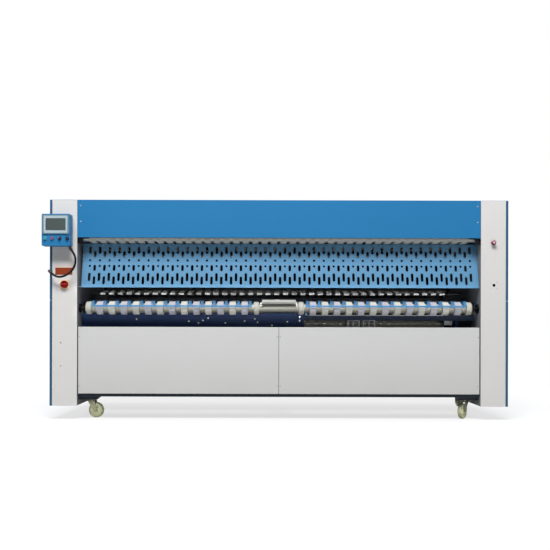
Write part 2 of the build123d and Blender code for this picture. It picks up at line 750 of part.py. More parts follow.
def console_bracket():
    """Back plate of the console with two stand-offs on the column."""
    x0, x1 = CONSOLE_LEFT + 2, CONSOLE_LEFT + CONSOLE_WIDTH - 2
    z0, z1 = CONSOLE_BOTTOM + 3, CONSOLE_BOTTOM + CONSOLE_HEIGHT - 3
    plate = span(x0, x1, CONSOLE_BACK_Y, CONSOLE_BACK_Y + 2, z0, z1)
    for z in (CONSOLE_BOTTOM + 60, CONSOLE_BOTTOM + 170):
        plate += span(-1800, x1 - 8, CONSOLE_BACK_Y + 2, 0, z, z + 40)
    return plate


def screen_bezel():
    """Grey frame of the screen, standing proud of the console."""
    low, high = screen_hole()
    middle = (low + high) / 2
    y0, y1 = CONSOLE_FACE_Y - BEZEL[2], CONSOLE_FACE_Y
    half_w, half_h = BEZEL[0] / 2, BEZEL[1] / 2
    frame = span(CONSOLE_X - half_w, CONSOLE_X + half_w, y0, y1, middle - half_h, middle + half_h)
    frame = fillet(frame.edges().filter_by(Axis.Y), 5)
    frame -= span(CONSOLE_X - SCREEN[0] / 2, CONSOLE_X + SCREEN[0] / 2, y0 - 1, y0 + 2,
                  middle - SCREEN[1] / 2, middle + SCREEN[1] / 2)
    body = span(CONSOLE_X - 94, CONSOLE_X + 94, CONSOLE_FACE_Y, CONSOLE_FACE_Y + 35, low + 2, high - 2)
    return frame + body


def screen_glass():
    low, high = screen_hole()
    middle = (low + high) / 2
    y0 = CONSOLE_FACE_Y - BEZEL[2]
    half_w, half_h = SCREEN[0] / 2 - 0.1, SCREEN[1] / 2 - 0.1
    return span(CONSOLE_X - half_w, CONSOLE_X + half_w, y0 + 0.6, y0 + 2, middle - half_h, middle + half_h)


def button_collars():
    rings = []
    for dx in CONTROL_X.values():
        x = CONSOLE_X + dx
        ring = rod_y(COLLAR_R, x, CONSOLE_FACE_Y - COLLAR_PROUD, CONSOLE_FACE_Y, CONTROL_Z)
        ring -= rod_y(BUTTON_HOLE_R, x, CONSOLE_FACE_Y - COLLAR_PROUD - 1, CONSOLE_FACE_Y + 1, CONTROL_Z)
        rings.append(ring)
    return rings


def push_button(name):
    """Cap with its stem through the collar, one press and a little more proud of it."""
    x = CONSOLE_X + CONTROL_X[name]
    y0 = CONSOLE_FACE_Y - COLLAR_PROUD - PRESS - 2
    return rod_y(BUTTON_R, x, y0, CONSOLE_FACE_Y + 18, CONTROL_Z)


def selector_knob():
    """Round knob with a raised grip across it."""
    x = CONSOLE_X + CONTROL_X["selector"]
    y0 = CONSOLE_FACE_Y - COLLAR_PROUD - 2
    knob = rod_y(BUTTON_R, x, y0, CONSOLE_FACE_Y + 18, CONTROL_Z)
    tip = CONSOLE_FACE_Y - KNOB_PROUD
    return knob + span(x - 4, x + 4, tip, y0, CONTROL_Z - 11, CONTROL_Z + 11)


def buzzer():
    x = CONSOLE_X + CONTROL_X["buzzer"]
    y0 = CONSOLE_FACE_Y - COLLAR_PROUD - 8
    return rod_y(BUTTON_R, x, y0, CONSOLE_FACE_Y + 25, CONTROL_Z)


def isolator_plate():
    """Square plate behind the isolator's knob, and the switch body in the column."""
    x, z = ISOLATOR
    plate = span(x - 38, x + 38, -3, 0, z - 38, z + 38)
    plate -= rod_y(6.3, x, -4, 1, z)
    body = span(x - 28, x + 28, SHEET, 60, z - 28, z + 28)
    body -= rod_y(6.3, x, SHEET - 1, 31, z)
    return [plate, body]


def isolator_knob():
    """Round knob with a grip across it, on a stem that enters the switch body."""
    x, z = ISOLATOR
    knob = rod_y(30, x, -22, -3.5, z)
    knob += span(x - 24, x + 24, -29, -22, z - 7, z + 7)
    return knob + rod_y(6, x, -3.5, 30, z)


def stop_collar():
    """Collar and contact block of the right column's stop button."""
    x, z = STOP
    ring = rod_y(17, x, -5, 0, z) - rod_y(BUTTON_HOLE_R, x, -6, 1, z)
    block = rod_y(17, x, SHEET, 50, z) - rod_y(BUTTON_HOLE_R, x, SHEET - 1, 35, z)
    return [ring, block]


def stop_stem():
    """Stem that slides in the collar and carries the head's pin."""
    x, z = STOP
    return rod_y(BUTTON_R, x, -10, 25, z) + rod_y(5, x, -19.5, -10, z)


def stop_head():
    """Mushroom head that turns on the stem's pin."""
    x, z = STOP
    head = rod_y(19, x, -26, -13.5, z)
    head = fillet(head.edges().sort_by(Axis.Y)[0], 6)
    head += rod_y(13, x, -13.5, -10.5, z)
    return head - rod_y(5.1, x, -20, -9, z)


def panel_socket():
    """Black socket behind a round hole in the right column."""
    x, z = SOCKET
    body = rod_y(SOCKET_R + 1, x, 0, SHEET, z) + rod_y(18, x, SHEET, 34, z)
    return body - rod_y(SOCKET_R, x, -1, 22, z)


def label_plate():
    x0, x1, z0, z1 = LABEL
    return span(x0, x1, -1, 0, z0, z1)


def beyond(end, before, reach):
    """Point in line with the route's end run, the reach beyond its end."""
    run = math.hypot(end[0] - before[0], end[1] - before[1])
    return tuple(e + (e - b) / run * reach for e, b in zip(end, before))


def elbow_centre():
    return beyond(CONDUIT_ROUTE[-1], CONDUIT_ROUTE[-2], ELBOW_REACH)


def gland_centre():
    return beyond(CONDUIT_ROUTE[0], CONDUIT_ROUTE[1], GLAND_REACH)


def sleeve(knee, end):
    """Sleeve from its ball-shaped knee to the conduit's end."""
    x, z = knee
    run_x, run_z = end[0] - x, end[1] - z
    plane = Plane((x, CONDUIT_Y, z), z_dir=(run_x, 0, run_z))
    tube = plane * extrude(Circle(CONDUIT_FIT_R), math.hypot(run_x, run_z))
    return tube + Pos(x, CONDUIT_Y, z) * Sphere(CONDUIT_FIT_R)


def conduit_fittings():
    """Gland under the console and elbow on the front edge of the left side cover."""
    gx, gz = gland_centre()
    gland = sleeve((gx, gz), CONDUIT_ROUTE[0]) + rod_z(9, gx, CONDUIT_Y, gz, CONSOLE_BOTTOM)
    ex, ez = elbow_centre()
    elbow = sleeve((ex, ez), CONDUIT_ROUTE[-1])
    elbow += rod_y(CONDUIT_FIT_R - 0.2, ex, CONDUIT_Y, 0, ez)
    elbow += rod_y(7, ex, 0, 14, ez)
    return [gland, elbow]


def conduit_path():
    """Route with arcs as large as the runs allow, and the radii of those arcs."""
    points = [Vector(x, CONDUIT_Y, z) for x, z in CONDUIT_ROUTE]
    radii = []
    for before, corner, after in zip(points, points[1:], points[2:]):
        come, go = corner - before, after - corner
        half_turn = math.radians(come.get_angle(go)) / 2
        radii.append(0.45 * min(come.length, go.length) / math.tan(half_turn))
    print("conduit radii", [round(r, 1) for r in radii])
    return FilletPolyline(*points, radius=radii)


def conduit():
    path = conduit_path()
    start = Plane(origin=path @ 0, z_dir=path % 0)
    tube = sweep(start * Circle(CONDUIT_R), path=path)
    expected = math.pi * CONDUIT_R ** 2 * path.length
    print("conduit length", round(path.length, 1), "volume share", round(tube.volume / expected, 4))
    return tube


def knife_cylinder():
    """Air cylinder that drives the fold knife, with a plate that bolts it to the knife beam."""
    _, beam_y, z0, z1 = KNIFE_BEAM
    barrel = rod_z(BARREL_R, 0, KNIFE_Y, BARREL_BOTTOM, BARREL_TOP)
    barrel += span(-30, 30, beam_y, beam_y + 5, z0, z1)
    barrel -= rod_z(BARREL_BORE_R, 0, KNIFE_Y, BARREL_BOTTOM + BARREL_END, BARREL_TOP - BARREL_END)
    return barrel - rod_z(ROD_R + 0.1, 0, KNIFE_Y, BARREL_BOTTOM - 1, BARREL_BOTTOM + BARREL_END + 1)


def fold_knife():
    """Blade with its rod and piston, resting at the bottom of its stroke."""
    piston_top = BARREL_TOP - BARREL_END - 2 - KNIFE_STROKE
    clamp_top = BARREL_BOTTOM - 3 - KNIFE_STROKE
    blade_top = clamp_top - 8
    y0, y1 = KNIFE_Y - 1.5, KNIFE_Y + 1.5
    knife = span(-KNIFE_HALF, KNIFE_HALF, y0, y1, blade_top - BLADE_HEIGHT, blade_top)
    knife += span(-40, 40, KNIFE_Y - 8, KNIFE_Y + 8, clamp_top - 16, clamp_top)
    knife += rod_z(ROD_R, 0, KNIFE_Y, clamp_top - 4, piston_top - 4)
    return knife + rod_z(BARREL_BORE_R - 0.3, 0, KNIFE_Y, piston_top - PISTON, piston_top)


def main():
    os.makedirs("parts", exist_ok=True)
    rear_upper, rear_panels = rear_covers()
    nodes = {
        "base_rails": base_rails() + caster_brackets(),
        "caster_top_plates": caster_top_plates(),
        "end_frames": [end_frame(-1), end_frame(1)],
        "left_column_cover": [left_column_cover()],
        "right_column_cover": [right_column_cover()],
        "side_covers": side_covers(),
        "roof_panels": roof_panels(),
        "top_front_cover": [top_front_cover()],
        "rear_upper_cover": [rear_upper],
        "rear_panels": rear_panels,
        "front_panels": front_panels(),
        "cover_screws": cover_screws(),
        "guide_plate": [guide_plate()],
        "top_belts": top_belts(),
        "fold_belts": fold_belts(),
        "front_belts": front_belts(),
        "delivery_belts": delivery_belts(),
        "belt_nose_bars": nose_bars(),
        "top_roller": [top_roller()],
        "fold_roller": [fold_roller()],
        "front_roller_tube": [front_roller_tube()],
        "front_roller_wheels": front_roller_wheels(),
        "delivery_roller": [delivery_roller()],
        "roller_bearings": roller_bearings(),
        "drive_belts": drive_belts(),
        "drive_motors": [drive_motor(-1, FOLD_AXIS), drive_motor(1, FRONT_AXIS)],
        "comb_guides": comb_guides(),
        "centre_nozzle_box": [centre_nozzle_box()],
        "inner_front_panel": inner_front_panel(),
        "cross_beams": cross_beams() + [belt_bed()],
        "delivery_brackets": delivery_brackets(),
        "air_pipe": [air_pipe()],
        "electrical_box": electrical_box(),
        "console_box": [console_box()],
        "console_bracket": [console_bracket()],
        "screen_bezel": [screen_bezel()],
        "screen_glass": [screen_glass()],
        "button_collars": button_collars(),
        "green_button": [push_button("green")],
        "red_button": [push_button("red")],
        "selector_knob": [selector_knob()],
        "buzzer": [buzzer()],
        "switch_bodies": isolator_plate() + stop_collar(),
        "isolator_knob": [isolator_knob()],
        "stop_stem": [stop_stem()],
        "stop_head": [stop_head()],
        "panel_socket": [panel_socket()],
        "label_plate": [label_plate()],
        "conduit_fittings": conduit_fittings(),
        "conduit": [conduit()],
        "knife_cylinder": [knife_cylinder()],
        "fold_knife": [fold_knife()],
    }
    for name, (x, y, trail, turn) in CASTERS.items():
        nodes[f"{name}_fork"] = [caster_fork(x, y, trail, turn)]
        nodes[f"{name}_wheel"] = [caster_wheel(x, y, trail, turn)]
    for name, pieces in nodes.items():
        save(name, *pieces)
    print(len(nodes), "nodes")


main()
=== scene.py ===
import math

import bmesh
import bpy
from bpy.props import FloatProperty, FloatVectorProperty, PointerProperty
from bpy.types import Operator, PropertyGroup
from mathutils import Matrix, Vector


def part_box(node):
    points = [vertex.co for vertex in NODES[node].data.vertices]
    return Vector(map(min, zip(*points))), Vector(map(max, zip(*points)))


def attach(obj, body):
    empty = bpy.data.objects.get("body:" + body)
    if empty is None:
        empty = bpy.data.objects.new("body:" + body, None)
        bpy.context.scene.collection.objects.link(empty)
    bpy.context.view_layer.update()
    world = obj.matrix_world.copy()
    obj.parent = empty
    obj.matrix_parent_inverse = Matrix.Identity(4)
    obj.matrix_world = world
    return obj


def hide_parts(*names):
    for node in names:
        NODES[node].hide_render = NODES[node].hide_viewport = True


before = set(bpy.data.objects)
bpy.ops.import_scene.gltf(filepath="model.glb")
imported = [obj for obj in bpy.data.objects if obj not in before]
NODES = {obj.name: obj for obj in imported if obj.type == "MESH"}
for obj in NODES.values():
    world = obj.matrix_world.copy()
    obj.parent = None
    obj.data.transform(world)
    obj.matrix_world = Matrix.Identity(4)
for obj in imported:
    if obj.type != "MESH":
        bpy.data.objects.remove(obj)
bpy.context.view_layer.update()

bl_info = {
    "name": "Linen folding machine",
    "version": (1, 0, 0),
    "blender": (4, 5, 0),
    "location": "3D View > Sidebar > Folder",
    "description": "Dresses the frame of a wide laundry folder with its covers, belts, controls and casters",
    "category": "Mesh",
}

# Shapes are drawn in millimetres: X from the middle of the machine, Y back from the front
# plane of the columns and Z up from the floor. ORIGIN is the frame's origin in those numbers.
ORIGIN = Vector((-18.5, 497.5, 0.0))
TO_FRAME = Matrix.Scale(0.001, 4) @ Matrix.Translation(-ORIGIN)

# Sizes shared by several pieces
HALF = 1840
INNER = 1620
COLUMN_OUT = 1819
BOTTOM = 112
TOP = 1766
SEAM = 960
SHEET = 2
DEPTH = 1100
COVER_LOW = 1464
PANEL_LOW, PANEL_HIGH = 209, 746
REAR_LOW, REAR_HIGH = 184, 700
OPENING_HIGH = 860

# Rollers and belt noses as (y, z)
TOP_AXIS, TOP_NOSE = (50, 1462), (700, 1462)
FOLD_AXIS, FOLD_NOSE = (930, 1085), (490, 1035)
FRONT_AXIS, FRONT_NOSE = (75, 900), (600, 969)
DELIVERY_AXIS, DELIVERY_NOSE = (320, 775), (1040, 775)
BELT_GAP = 1.0
FRONT_FIRST, FRONT_PITCH, FRONT_COUNT = 276, 97.5, 13

FORWARD, BACK = (0, -1, 0), (0, 1, 0)

# Controls of the columns as (x, z)
ISOLATOR, STOP, SOCKET = (-1720, 1086), (1717, 1427), (1725, 1087)

# Console
CONSOLE_X, CONSOLE_LOW, CONSOLE_WIDE, CONSOLE_HIGH = -1764.5, 1386, 225, 252
CONSOLE_FACE, CONSOLE_BACK = -85, -15
CONTROL_Z = 1444.5
SCREEN_Z = 1554
COLLAR_BORE = 12


def rgb(code):
    """A hex colour as linear red, green and blue."""
    channels = [int(code[n:n + 2], 16) / 255 for n in (1, 3, 5)]
    return [c / 12.92 if c <= 0.04045 else ((c + 0.055) / 1.055) ** 2.4 for c in channels]


# Settings


def colour_of(name, description, code):
    return FloatVectorProperty(
        name=name, description=description, default=rgb(code), size=3, subtype="COLOR", min=0, max=1)


def length_of(name, description, millimetres):
    return FloatProperty(
        name=name, description=description, default=millimetres / 1000, min=0, precision=4,
        subtype="DISTANCE", unit="LENGTH")


class FolderColours(PropertyGroup):
    """Colours of the machine's paints, belts and plastics."""

    blue: colour_of("Blue", "Side covers, top cover and console", "#2173a8")
    # Painted shade: the side covers' own blue, drawn darker on their narrow front edges
    edge_blue: colour_of("Edge blue", "Narrow front edges of the side covers", "#2b5573")
    white: colour_of("White", "Front panels and lower back covers", "#cecfce")
    column: colour_of("Column white", "Columns", "#d7d6d4")
    sky: colour_of("Light blue", "Perforated guide plate", "#5788ac")
    # Painted shade: the finger strips are the guide plate's light blue, drawn darker for the shade under the plate
    strip: colour_of("Strip blue", "Finger strips in front of the belts", "#3f7cab")
    navy: colour_of("Navy", "Panel and beams behind the front roller", "#102b55")
    rail: colour_of("Rail", "Base rails", "#1b2b3a")
    grey_belt: colour_of("Grey belt", "Every other belt of the front roller, and the top belts", "#aeaeb7")
    cream_belt: colour_of("Cream belt", "Every other belt of the front roller", "#bfc0b8")
    beige_belt: colour_of("Beige belt", "Delivery belts", "#b0ac9e")
    wheel: colour_of("Caster wheel", "Nylon faces of the caster wheels", "#d0d3a9")
    tread: colour_of("Caster tread", "Worn tread of the caster wheels", "#a2a485")


class FolderSizes(PropertyGroup):
    """Small sizes that set how the edges and the surfaces look."""

    edge: length_of("Edge", "Rounding of plain edges", 0.8)
    bend: length_of("Bend", "Outer radius of folded sheet metal", 2.6)
    belt: length_of("Belt", "Thickness of the flat belts", 2.5)
    peel: length_of("Orange peel", "Spacing of the dimples in sprayed paint", 3.0)
    weave: length_of("Weave", "Spacing of the threads in the belts", 3.0)
    screw: length_of("Screw", "Radius of a cover screw's head", 5.0)


def colour(name):
    return (*getattr(bpy.context.scene.folder_colours, name), 1.0)


def size(name):
    """A setting's length in the millimetres that the shapes are drawn in."""
    return getattr(bpy.context.scene.folder_sizes, name) * 1000


# Shapes: each function gives a new bmesh in drawn millimetres


def soften(shape, width, segments=2, over=30):
    """Round the edges whose faces meet at more than that many degrees."""
    if width:
        shape.normal_update()
        sharp = [edge for edge in shape.edges
                 if len(edge.link_faces) == 2 and edge.calc_face_angle() > math.radians(over)]
        bmesh.ops.bevel(
            shape, geom=sharp, offset=width, offset_type="OFFSET", segments=segments, profile=0.5,
            affect="EDGES", material=-1, clamp_overlap=True)
    return shape


def block(low, high):
    """Plain box between two corners, in any order."""
    low, high = Vector(map(min, low, high)), Vector(map(max, low, high))
    shape = bmesh.new()
    place = Matrix.Translation((low + high) / 2) @ Matrix.Diagonal((*(high - low), 1))
    bmesh.ops.create_cube(shape, size=1, matrix=place)
    return shape


def solid(low, high, edge=None, segments=2):
    """Box between two corners with rounded edges."""
    return soften(block(low, high), size("edge") if edge is None else edge, segments)


def tray(low, high, open_side):
    """Folded sheet-metal box, open on one side, with rounded bends and an inner wall."""
    shape = block(low, high)
    shape.normal_update()
    lid = max(shape.faces, key=lambda face: face.normal.dot(Vector(open_side)))
    bmesh.ops.delete(shape, geom=[lid], context="FACES")
    soften(shape, size("bend"), 3)
    bmesh.ops.recalc_face_normals(shape, faces=shape.faces)
    bmesh.ops.solidify(shape, geom=shape.faces[:], thickness=SHEET)
    return shape


def bar(start, end, radius, edge=0.0, sides=32, tip=None):
    """Round bar between two points; tip is its radius at the far end where it tapers."""
    start, end = Vector(start), Vector(end)
    turn = (end - start).to_track_quat("Z", "Y").to_matrix().to_4x4()
    shape = bmesh.new()
    bmesh.ops.create_cone(
        shape, cap_ends=True, cap_tris=False, segments=sides, radius1=radius,
        radius2=radius if tip is None else tip, depth=(end - start).length,
        matrix=Matrix.Translation((start + end) / 2) @ turn)
    return soften(shape, edge, 2, 50)


def turned(start, axis, profile, sides=40, closed=False):
    """Form turned about an axis from pairs of distance along it and radius; a closed profile is a ring's."""
    start, axis = Vector(start), Vector(axis).normalized()
    profile = [*profile, profile[0]] if closed else profile
    out = axis.orthogonal().normalized()
    shape = bmesh.new()
    ring = [shape.verts.new(start + axis * along + out * radius) for along, radius in profile]
    line = [shape.edges.new(pair) for pair in zip(ring, ring[1:])]
    bmesh.ops.spin(
        shape, geom=ring + line, cent=start, axis=axis, angle=math.tau, steps=sides, use_merge=True)
    bmesh.ops.remove_doubles(shape, verts=shape.verts, dist=1e-4)
    bmesh.ops.recalc_face_normals(shape, faces=shape.faces)
    return shape


def plane(origin, across, up):
    """Placement of a flat outline: where it starts and which ways its two numbers go."""
    across, up = Vector(across), Vector(up)
    axes = Matrix((across, up, across.cross(up))).transposed()
    return Matrix.Translation(origin) @ axes.to_4x4()


def facing_front(x, y, z):
    """Plane whose outlines are read from the front; thickness grows towards the viewer."""
    return plane((x, y, z), (1, 0, 0), (0, 0, 1))


def seen_from_right(x):
    """Plane whose outlines are (y, z); thickness grows along +X."""
    return plane((x, 0, 0), (0, 1, 0), (0, 0, 1))


def cut_sheet(outline, thickness, place, holes=()):
    """Flat sheet with that outline and those holes, all given as loops of points."""
    shape = bmesh.new()
    for points in (outline, *holes):
        corners = [shape.verts.new((*point, 0)) for point in points]
        for pair in zip(corners, corners[1:] + corners[:1]):
            shape.edges.new(pair)
    if holes:
        bmesh.ops.triangle_fill(shape, use_beauty=True, edges=shape.edges[:])
    else:
        bmesh.ops.contextual_create(shape, geom=shape.verts[:])
    grown = bmesh.ops.extrude_face_region(shape, geom=shape.faces[:])["geom"]
    lifted = [item for item in grown if isinstance(item, bmesh.types.BMVert)]
    bmesh.ops.translate(shape, verts=lifted, vec=(0, 0, thickness))
    shape.transform(place)
    bmesh.ops.recalc_face_normals(shape, faces=shape.faces)
    return shape


def rectangle(wide, high, radius=0.0, steps=5):
    """Outline about its own middle, with round corners where a radius is given."""
    if not radius:
        return [(wide / 2, high / 2), (-wide / 2, high / 2), (-wide / 2, -high / 2), (wide / 2, -high / 2)]
    points = []
    for corner, (right, up) in enumerate(((1, 1), (-1, 1), (-1, -1), (1, -1))):
        for step in range(steps + 1):
            turn = math.radians(90 * (corner + step / steps))
            points.append((right * (wide / 2 - radius) + radius * math.cos(turn),
                           up * (high / 2 - radius) + radius * math.sin(turn)))
    return points


def ring(radius, across=0.0, up=0.0, sides=32):
    turns = [math.tau * n / sides for n in range(sides)]
    return [(across + radius * math.cos(turn), up + radius * math.sin(turn)) for turn in turns]


def belt(first, first_radius, second, second_radius, wide, steps=14):
    """Flat belt round two axes given as (y, z), centred on X = 0; the radii are inside it."""
    one, two = Vector((0, *first)), Vector((0, *second))
    way = (two - one).normalized()
    lean = math.acos((first_radius - second_radius) / (two - one).length)
    shape = bmesh.new()
    ends = []
    for centre, radius, start, sweep in (
            (one, first_radius, lean, math.tau - 2 * lean), (two, second_radius, -lean, 2 * lean)):
        out = Matrix.Rotation(start, 3, "X") @ way * radius
        pair = [shape.verts.new(centre + out + Vector((x, 0, 0))) for x in (-wide / 2, wide / 2)]
        line = shape.edges.new(pair)
        spun = bmesh.ops.spin(
            shape, geom=pair + [line], cent=centre, axis=(1, 0, 0), angle=sweep, steps=steps)
        last = [item for item in spun["geom_last"] if isinstance(item, bmesh.types.BMVert)]
        ends.append((pair, last))
    (first_pair, first_last), (second_pair, second_last) = ends
    bmesh.ops.contextual_create(shape, geom=first_last + second_pair)
    bmesh.ops.contextual_create(shape, geom=second_last + first_pair)
    bmesh.ops.recalc_face_normals(shape, faces=shape.faces)
    bmesh.ops.solidify(shape, geom=shape.faces[:], thickness=-size("belt"))
    return soften(shape, 0.5, 1, 60)


def moved(shape, place):
    shape.transform(place if isinstance(place, Matrix) else Matrix.Translation(place))
    return shape


def tint(shape, index):
    """Give the whole shape the piece's material of that number."""
    for face in shape.faces:
        face.material_index = index
    return shape


def join(*shapes):
    """One bmesh from several, which are used up."""
    scratch = bpy.data.meshes.new("scratch")
    whole = bmesh.new()
    for shape in shapes:
        shape.to_mesh(scratch)
        whole.from_mesh(scratch)
        shape.free()
    bpy.data.meshes.remove(scratch)
    return whole


def copies(shape, places):
    """The shape once at each place, a matrix or an offset."""
    whole = join(*[moved(shape.copy(), place) for place in places])
    shape.free()
    return whole


def mirrored(shape):
    """The shape and its mirror image across the machine's middle."""
    other = moved(shape.copy(), Matrix.Scale(-1, 4, (1, 0, 0)))
    bmesh.ops.reverse_faces(other, faces=other.faces)
    return join(shape, other)


def spread(count, pitch):
    return [(n - (count - 1) / 2) * pitch for n in range(count)]


def finish(name, shape, looks, *stands_for, body="frame"):
    """Make a drawn shape a piece of the machine that rides on a body and stands for its nodes."""
    previous = bpy.data.objects.get(name)
    if previous:
        bpy.data.objects.remove(previous)
    bmesh.ops.recalc_face_normals(shape, faces=shape.faces)
    shape.transform(TO_FRAME)
    mesh = bpy.data.meshes.new(name)
    shape.to_mesh(mesh)
    shape.free()
    if not mesh.polygons:
        raise RuntimeError(f"{name} has no faces")
    for look in [looks] if isinstance(looks, str) else looks:
        mesh.materials.append(material(look))
    mesh.polygons.foreach_set("use_smooth", [True] * len(mesh.polygons))
    mesh.set_sharp_from_angle(angle=math.radians(35))
    piece = bpy.data.objects.new(name, mesh)
    bpy.context.scene.collection.objects.link(piece)
    flatter = piece.modifiers.new("Even shading", "WEIGHTED_NORMAL")
    flatter.keep_sharp = True
    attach(piece, body)
    if stands_for:
        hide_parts(*stands_for)
    return piece


# Materials: each recipe starts from the real material and how its surface was made


def node(tree, kind, sockets=None, output=None, **settings):
    """Add a node, whose sockets maps inputs to values or to the outputs that feed them, and give
    the output that is named or else the node."""
    made = tree.nodes.new(f"ShaderNode{kind}")
    for key, value in settings.items():
        setattr(made, key, value)
    for key, value in (sockets or {}).items():
        if isinstance(value, bpy.types.NodeSocket):
            tree.links.new(value, made.inputs[key])
        else:
            made.inputs[key].default_value = value
    return made if output is None else made.outputs[output]


def shaded(code, factor):
    return (*[min(1.0, channel * factor) for channel in code[:3]], 1.0)


def bare_tree(made):
    """Empty node tree of a new material or world."""
    made.use_nodes = True
    made.node_tree.nodes.clear()
    return made.node_tree


def begin(name, **sockets):
    """New material with its shader, its output and the piece's own coordinates in metres."""
    made = bpy.data.materials.new(name)
    tree = bare_tree(made)
    shader = node(tree, "BsdfPrincipled", {key.replace("_", " "): value for key, value in sockets.items()})
    node(tree, "OutputMaterial", {"Surface": shader.outputs["BSDF"]})
    return made, tree, shader, node(tree, "TexCoord", output="Object")


def blend(tree, factor, first, second):
    """Colour between two others."""
    return node(tree, "Mix", {0: factor, 6: first, 7: second}, 2, data_type="RGBA")


def dress(tree, shader, tone, height=None, strength=0.0, distance=0.0, cloud=None, low=0.0, high=0.0):
    """Feed the shader its tone, a bump that follows a height and a roughness that follows a cloud."""
    tree.links.new(tone, shader.inputs["Base Color"])
    if cloud:
        satin = node(tree, "MapRange", {"Value": cloud, "To Min": low, "To Max": high}, "Result")
        tree.links.new(satin, shader.inputs["Roughness"])
    if height:
        bump = node(tree, "Bump", {"Height": height, "Strength": strength, "Distance": distance}, "Normal")
        tree.links.new(bump, shader.inputs["Normal"])


def rubbed_and_lit_edges(tree, radius, amount):
    """Mask that is 1 where the surface turns over an edge, for paler edges that are partly rubbing and partly painted
    highlight.
    """
    rounded = node(tree, "Bevel", {"Radius": radius}, "Normal", samples=4)
    plain = node(tree, "NewGeometry", output="Normal")
    same = node(tree, "VectorMath", {0: rounded, 1: plain}, "Value", operation="DOT_PRODUCT")
    return node(tree, "MapRange", {"Value": same, "From Min": 0.995, "From Max": 0.9, "To Max": amount}, "Result")


def powder_coat(name, base, roughness=0.4, gloss=0.3, drift=0.06, rub=0.5, dust=0.0, low=0.0, high=0.5):
    """Steel sheet, powder-coated and baked: a fine orange peel that breaks up the highlight, a slow drift of tone
    over the sheet, paler edges that are partly rubbing and partly painted highlight and, on low covers, dust that
    thins upwards."""
    made, tree, shader, place = begin(name, Roughness=roughness, Specular_IOR_Level=gloss)
    cloud = node(tree, "TexNoise", {"Vector": place, "Scale": 1.7, "Detail": 4.0}, "Fac")
    speck = node(tree, "TexNoise", {"Vector": place, "Scale": 260.0, "Detail": 2.0}, "Fac")
    tone = blend(tree, cloud, shaded(base, 1 - drift), shaded(base, 1 + drift))
    tone = blend(tree, speck, tone, shaded(base, 1.05))
    # Paler edges: partly rubbed paint, partly painted highlight
    tone = blend(tree, rubbed_and_lit_edges(tree, 0.0015, rub), tone, shaded(base, 1.5))
    if dust:
        height = node(tree, "SeparateXYZ", {"Vector": place}, "Z")
        film = node(tree, "MapRange", {
            "Value": height, "From Min": low, "From Max": high, "To Min": dust, "To Max": 0.0}, "Result")
        patchy = node(tree, "Math", {0: film, 1: cloud}, "Value", operation="MULTIPLY")
        tone = blend(tree, patchy, tone, (*rgb("#a39c90"), 1))
    peel = node(tree, "TexNoise", {"Vector": place, "Scale": 1000 / size("peel"), "Detail": 1.0}, "Fac")
    dress(tree, shader, tone, peel, 0.12, 0.0004, cloud, roughness - 0.06, roughness + 0.08)
    return made


def turned_steel(name, base, roughness=0.32, stain=0.25, journal=None):
    """Steel turned on a lathe or drawn through a die: fine lines round or along the bar, a streaked
    highlight, grey patches where linen and hands have dulled it, and ends beyond a journal painted nearly black as
    painted shade."""
    made, tree, shader, place = begin(name, Metallic=1.0, Roughness=roughness, Anisotropic=0.5)
    lines = node(tree, "Mapping", {"Vector": place, "Scale": (900, 6, 6)}, "Vector")
    grain = node(tree, "TexNoise", {"Vector": lines, "Scale": 1.0, "Detail": 3.0}, "Fac")
    cloud = node(tree, "TexNoise", {"Vector": place, "Scale": 9.0, "Detail": 5.0}, "Fac")
    tone = blend(tree, grain, shaded(base, 0.86), shaded(base, 1.1))
    dull = node(tree, "MapRange", {"Value": cloud, "From Min": 0.5, "From Max": 0.75, "To Max": stain}, "Result")
    tone = blend(tree, dull, tone, shaded(base, 0.6))
    # Beyond the journal the steel is painted nearly black: painted shade at the roller's ends
    if journal:
        across = node(tree, "SeparateXYZ", {"Vector": place}, "X")
        offset = node(tree, "Math", {0: across, 1: TO_FRAME.translation.x}, "Value", operation="SUBTRACT")
        away = node(tree, "Math", {0: offset}, "Value", operation="ABSOLUTE")
        end_shade = node(tree, "MapRange", {
            "Value": away, "From Min": journal, "From Max": journal + 0.002}, "Result")
        tone = blend(tree, end_shade, tone, shaded(base, 0.05))
    dress(tree, shader, tone, grain, 0.15, 0.0002, cloud, roughness - 0.08, roughness + 0.14)
    return made


def plated(name, base, roughness=0.3, spangle=140.0):
    """Zinc or chrome plate on pressed steel: small crystals of slightly different brightness, soft
    dents from the press and a dull film in the hollows."""
    made, tree, shader, place = begin(name, Metallic=1.0, Roughness=roughness)
    crystal = node(tree, "TexVoronoi", {"Vector": place, "Scale": spangle}, "Color")
    grey = node(tree, "RGBToBW", {"Color": crystal}, "Val")
    film = node(tree, "TexNoise", {"Vector": place, "Scale": 22.0, "Detail": 4.0}, "Fac")
    tone = blend(tree, grey, shaded(base, 0.88), shaded(base, 1.12))
    tone = blend(tree, film, tone, shaded(base, 0.78))
    dress(tree, shader, tone, film, 0.2, 0.0006, film, roughness - 0.1, roughness + 0.16)
    return made


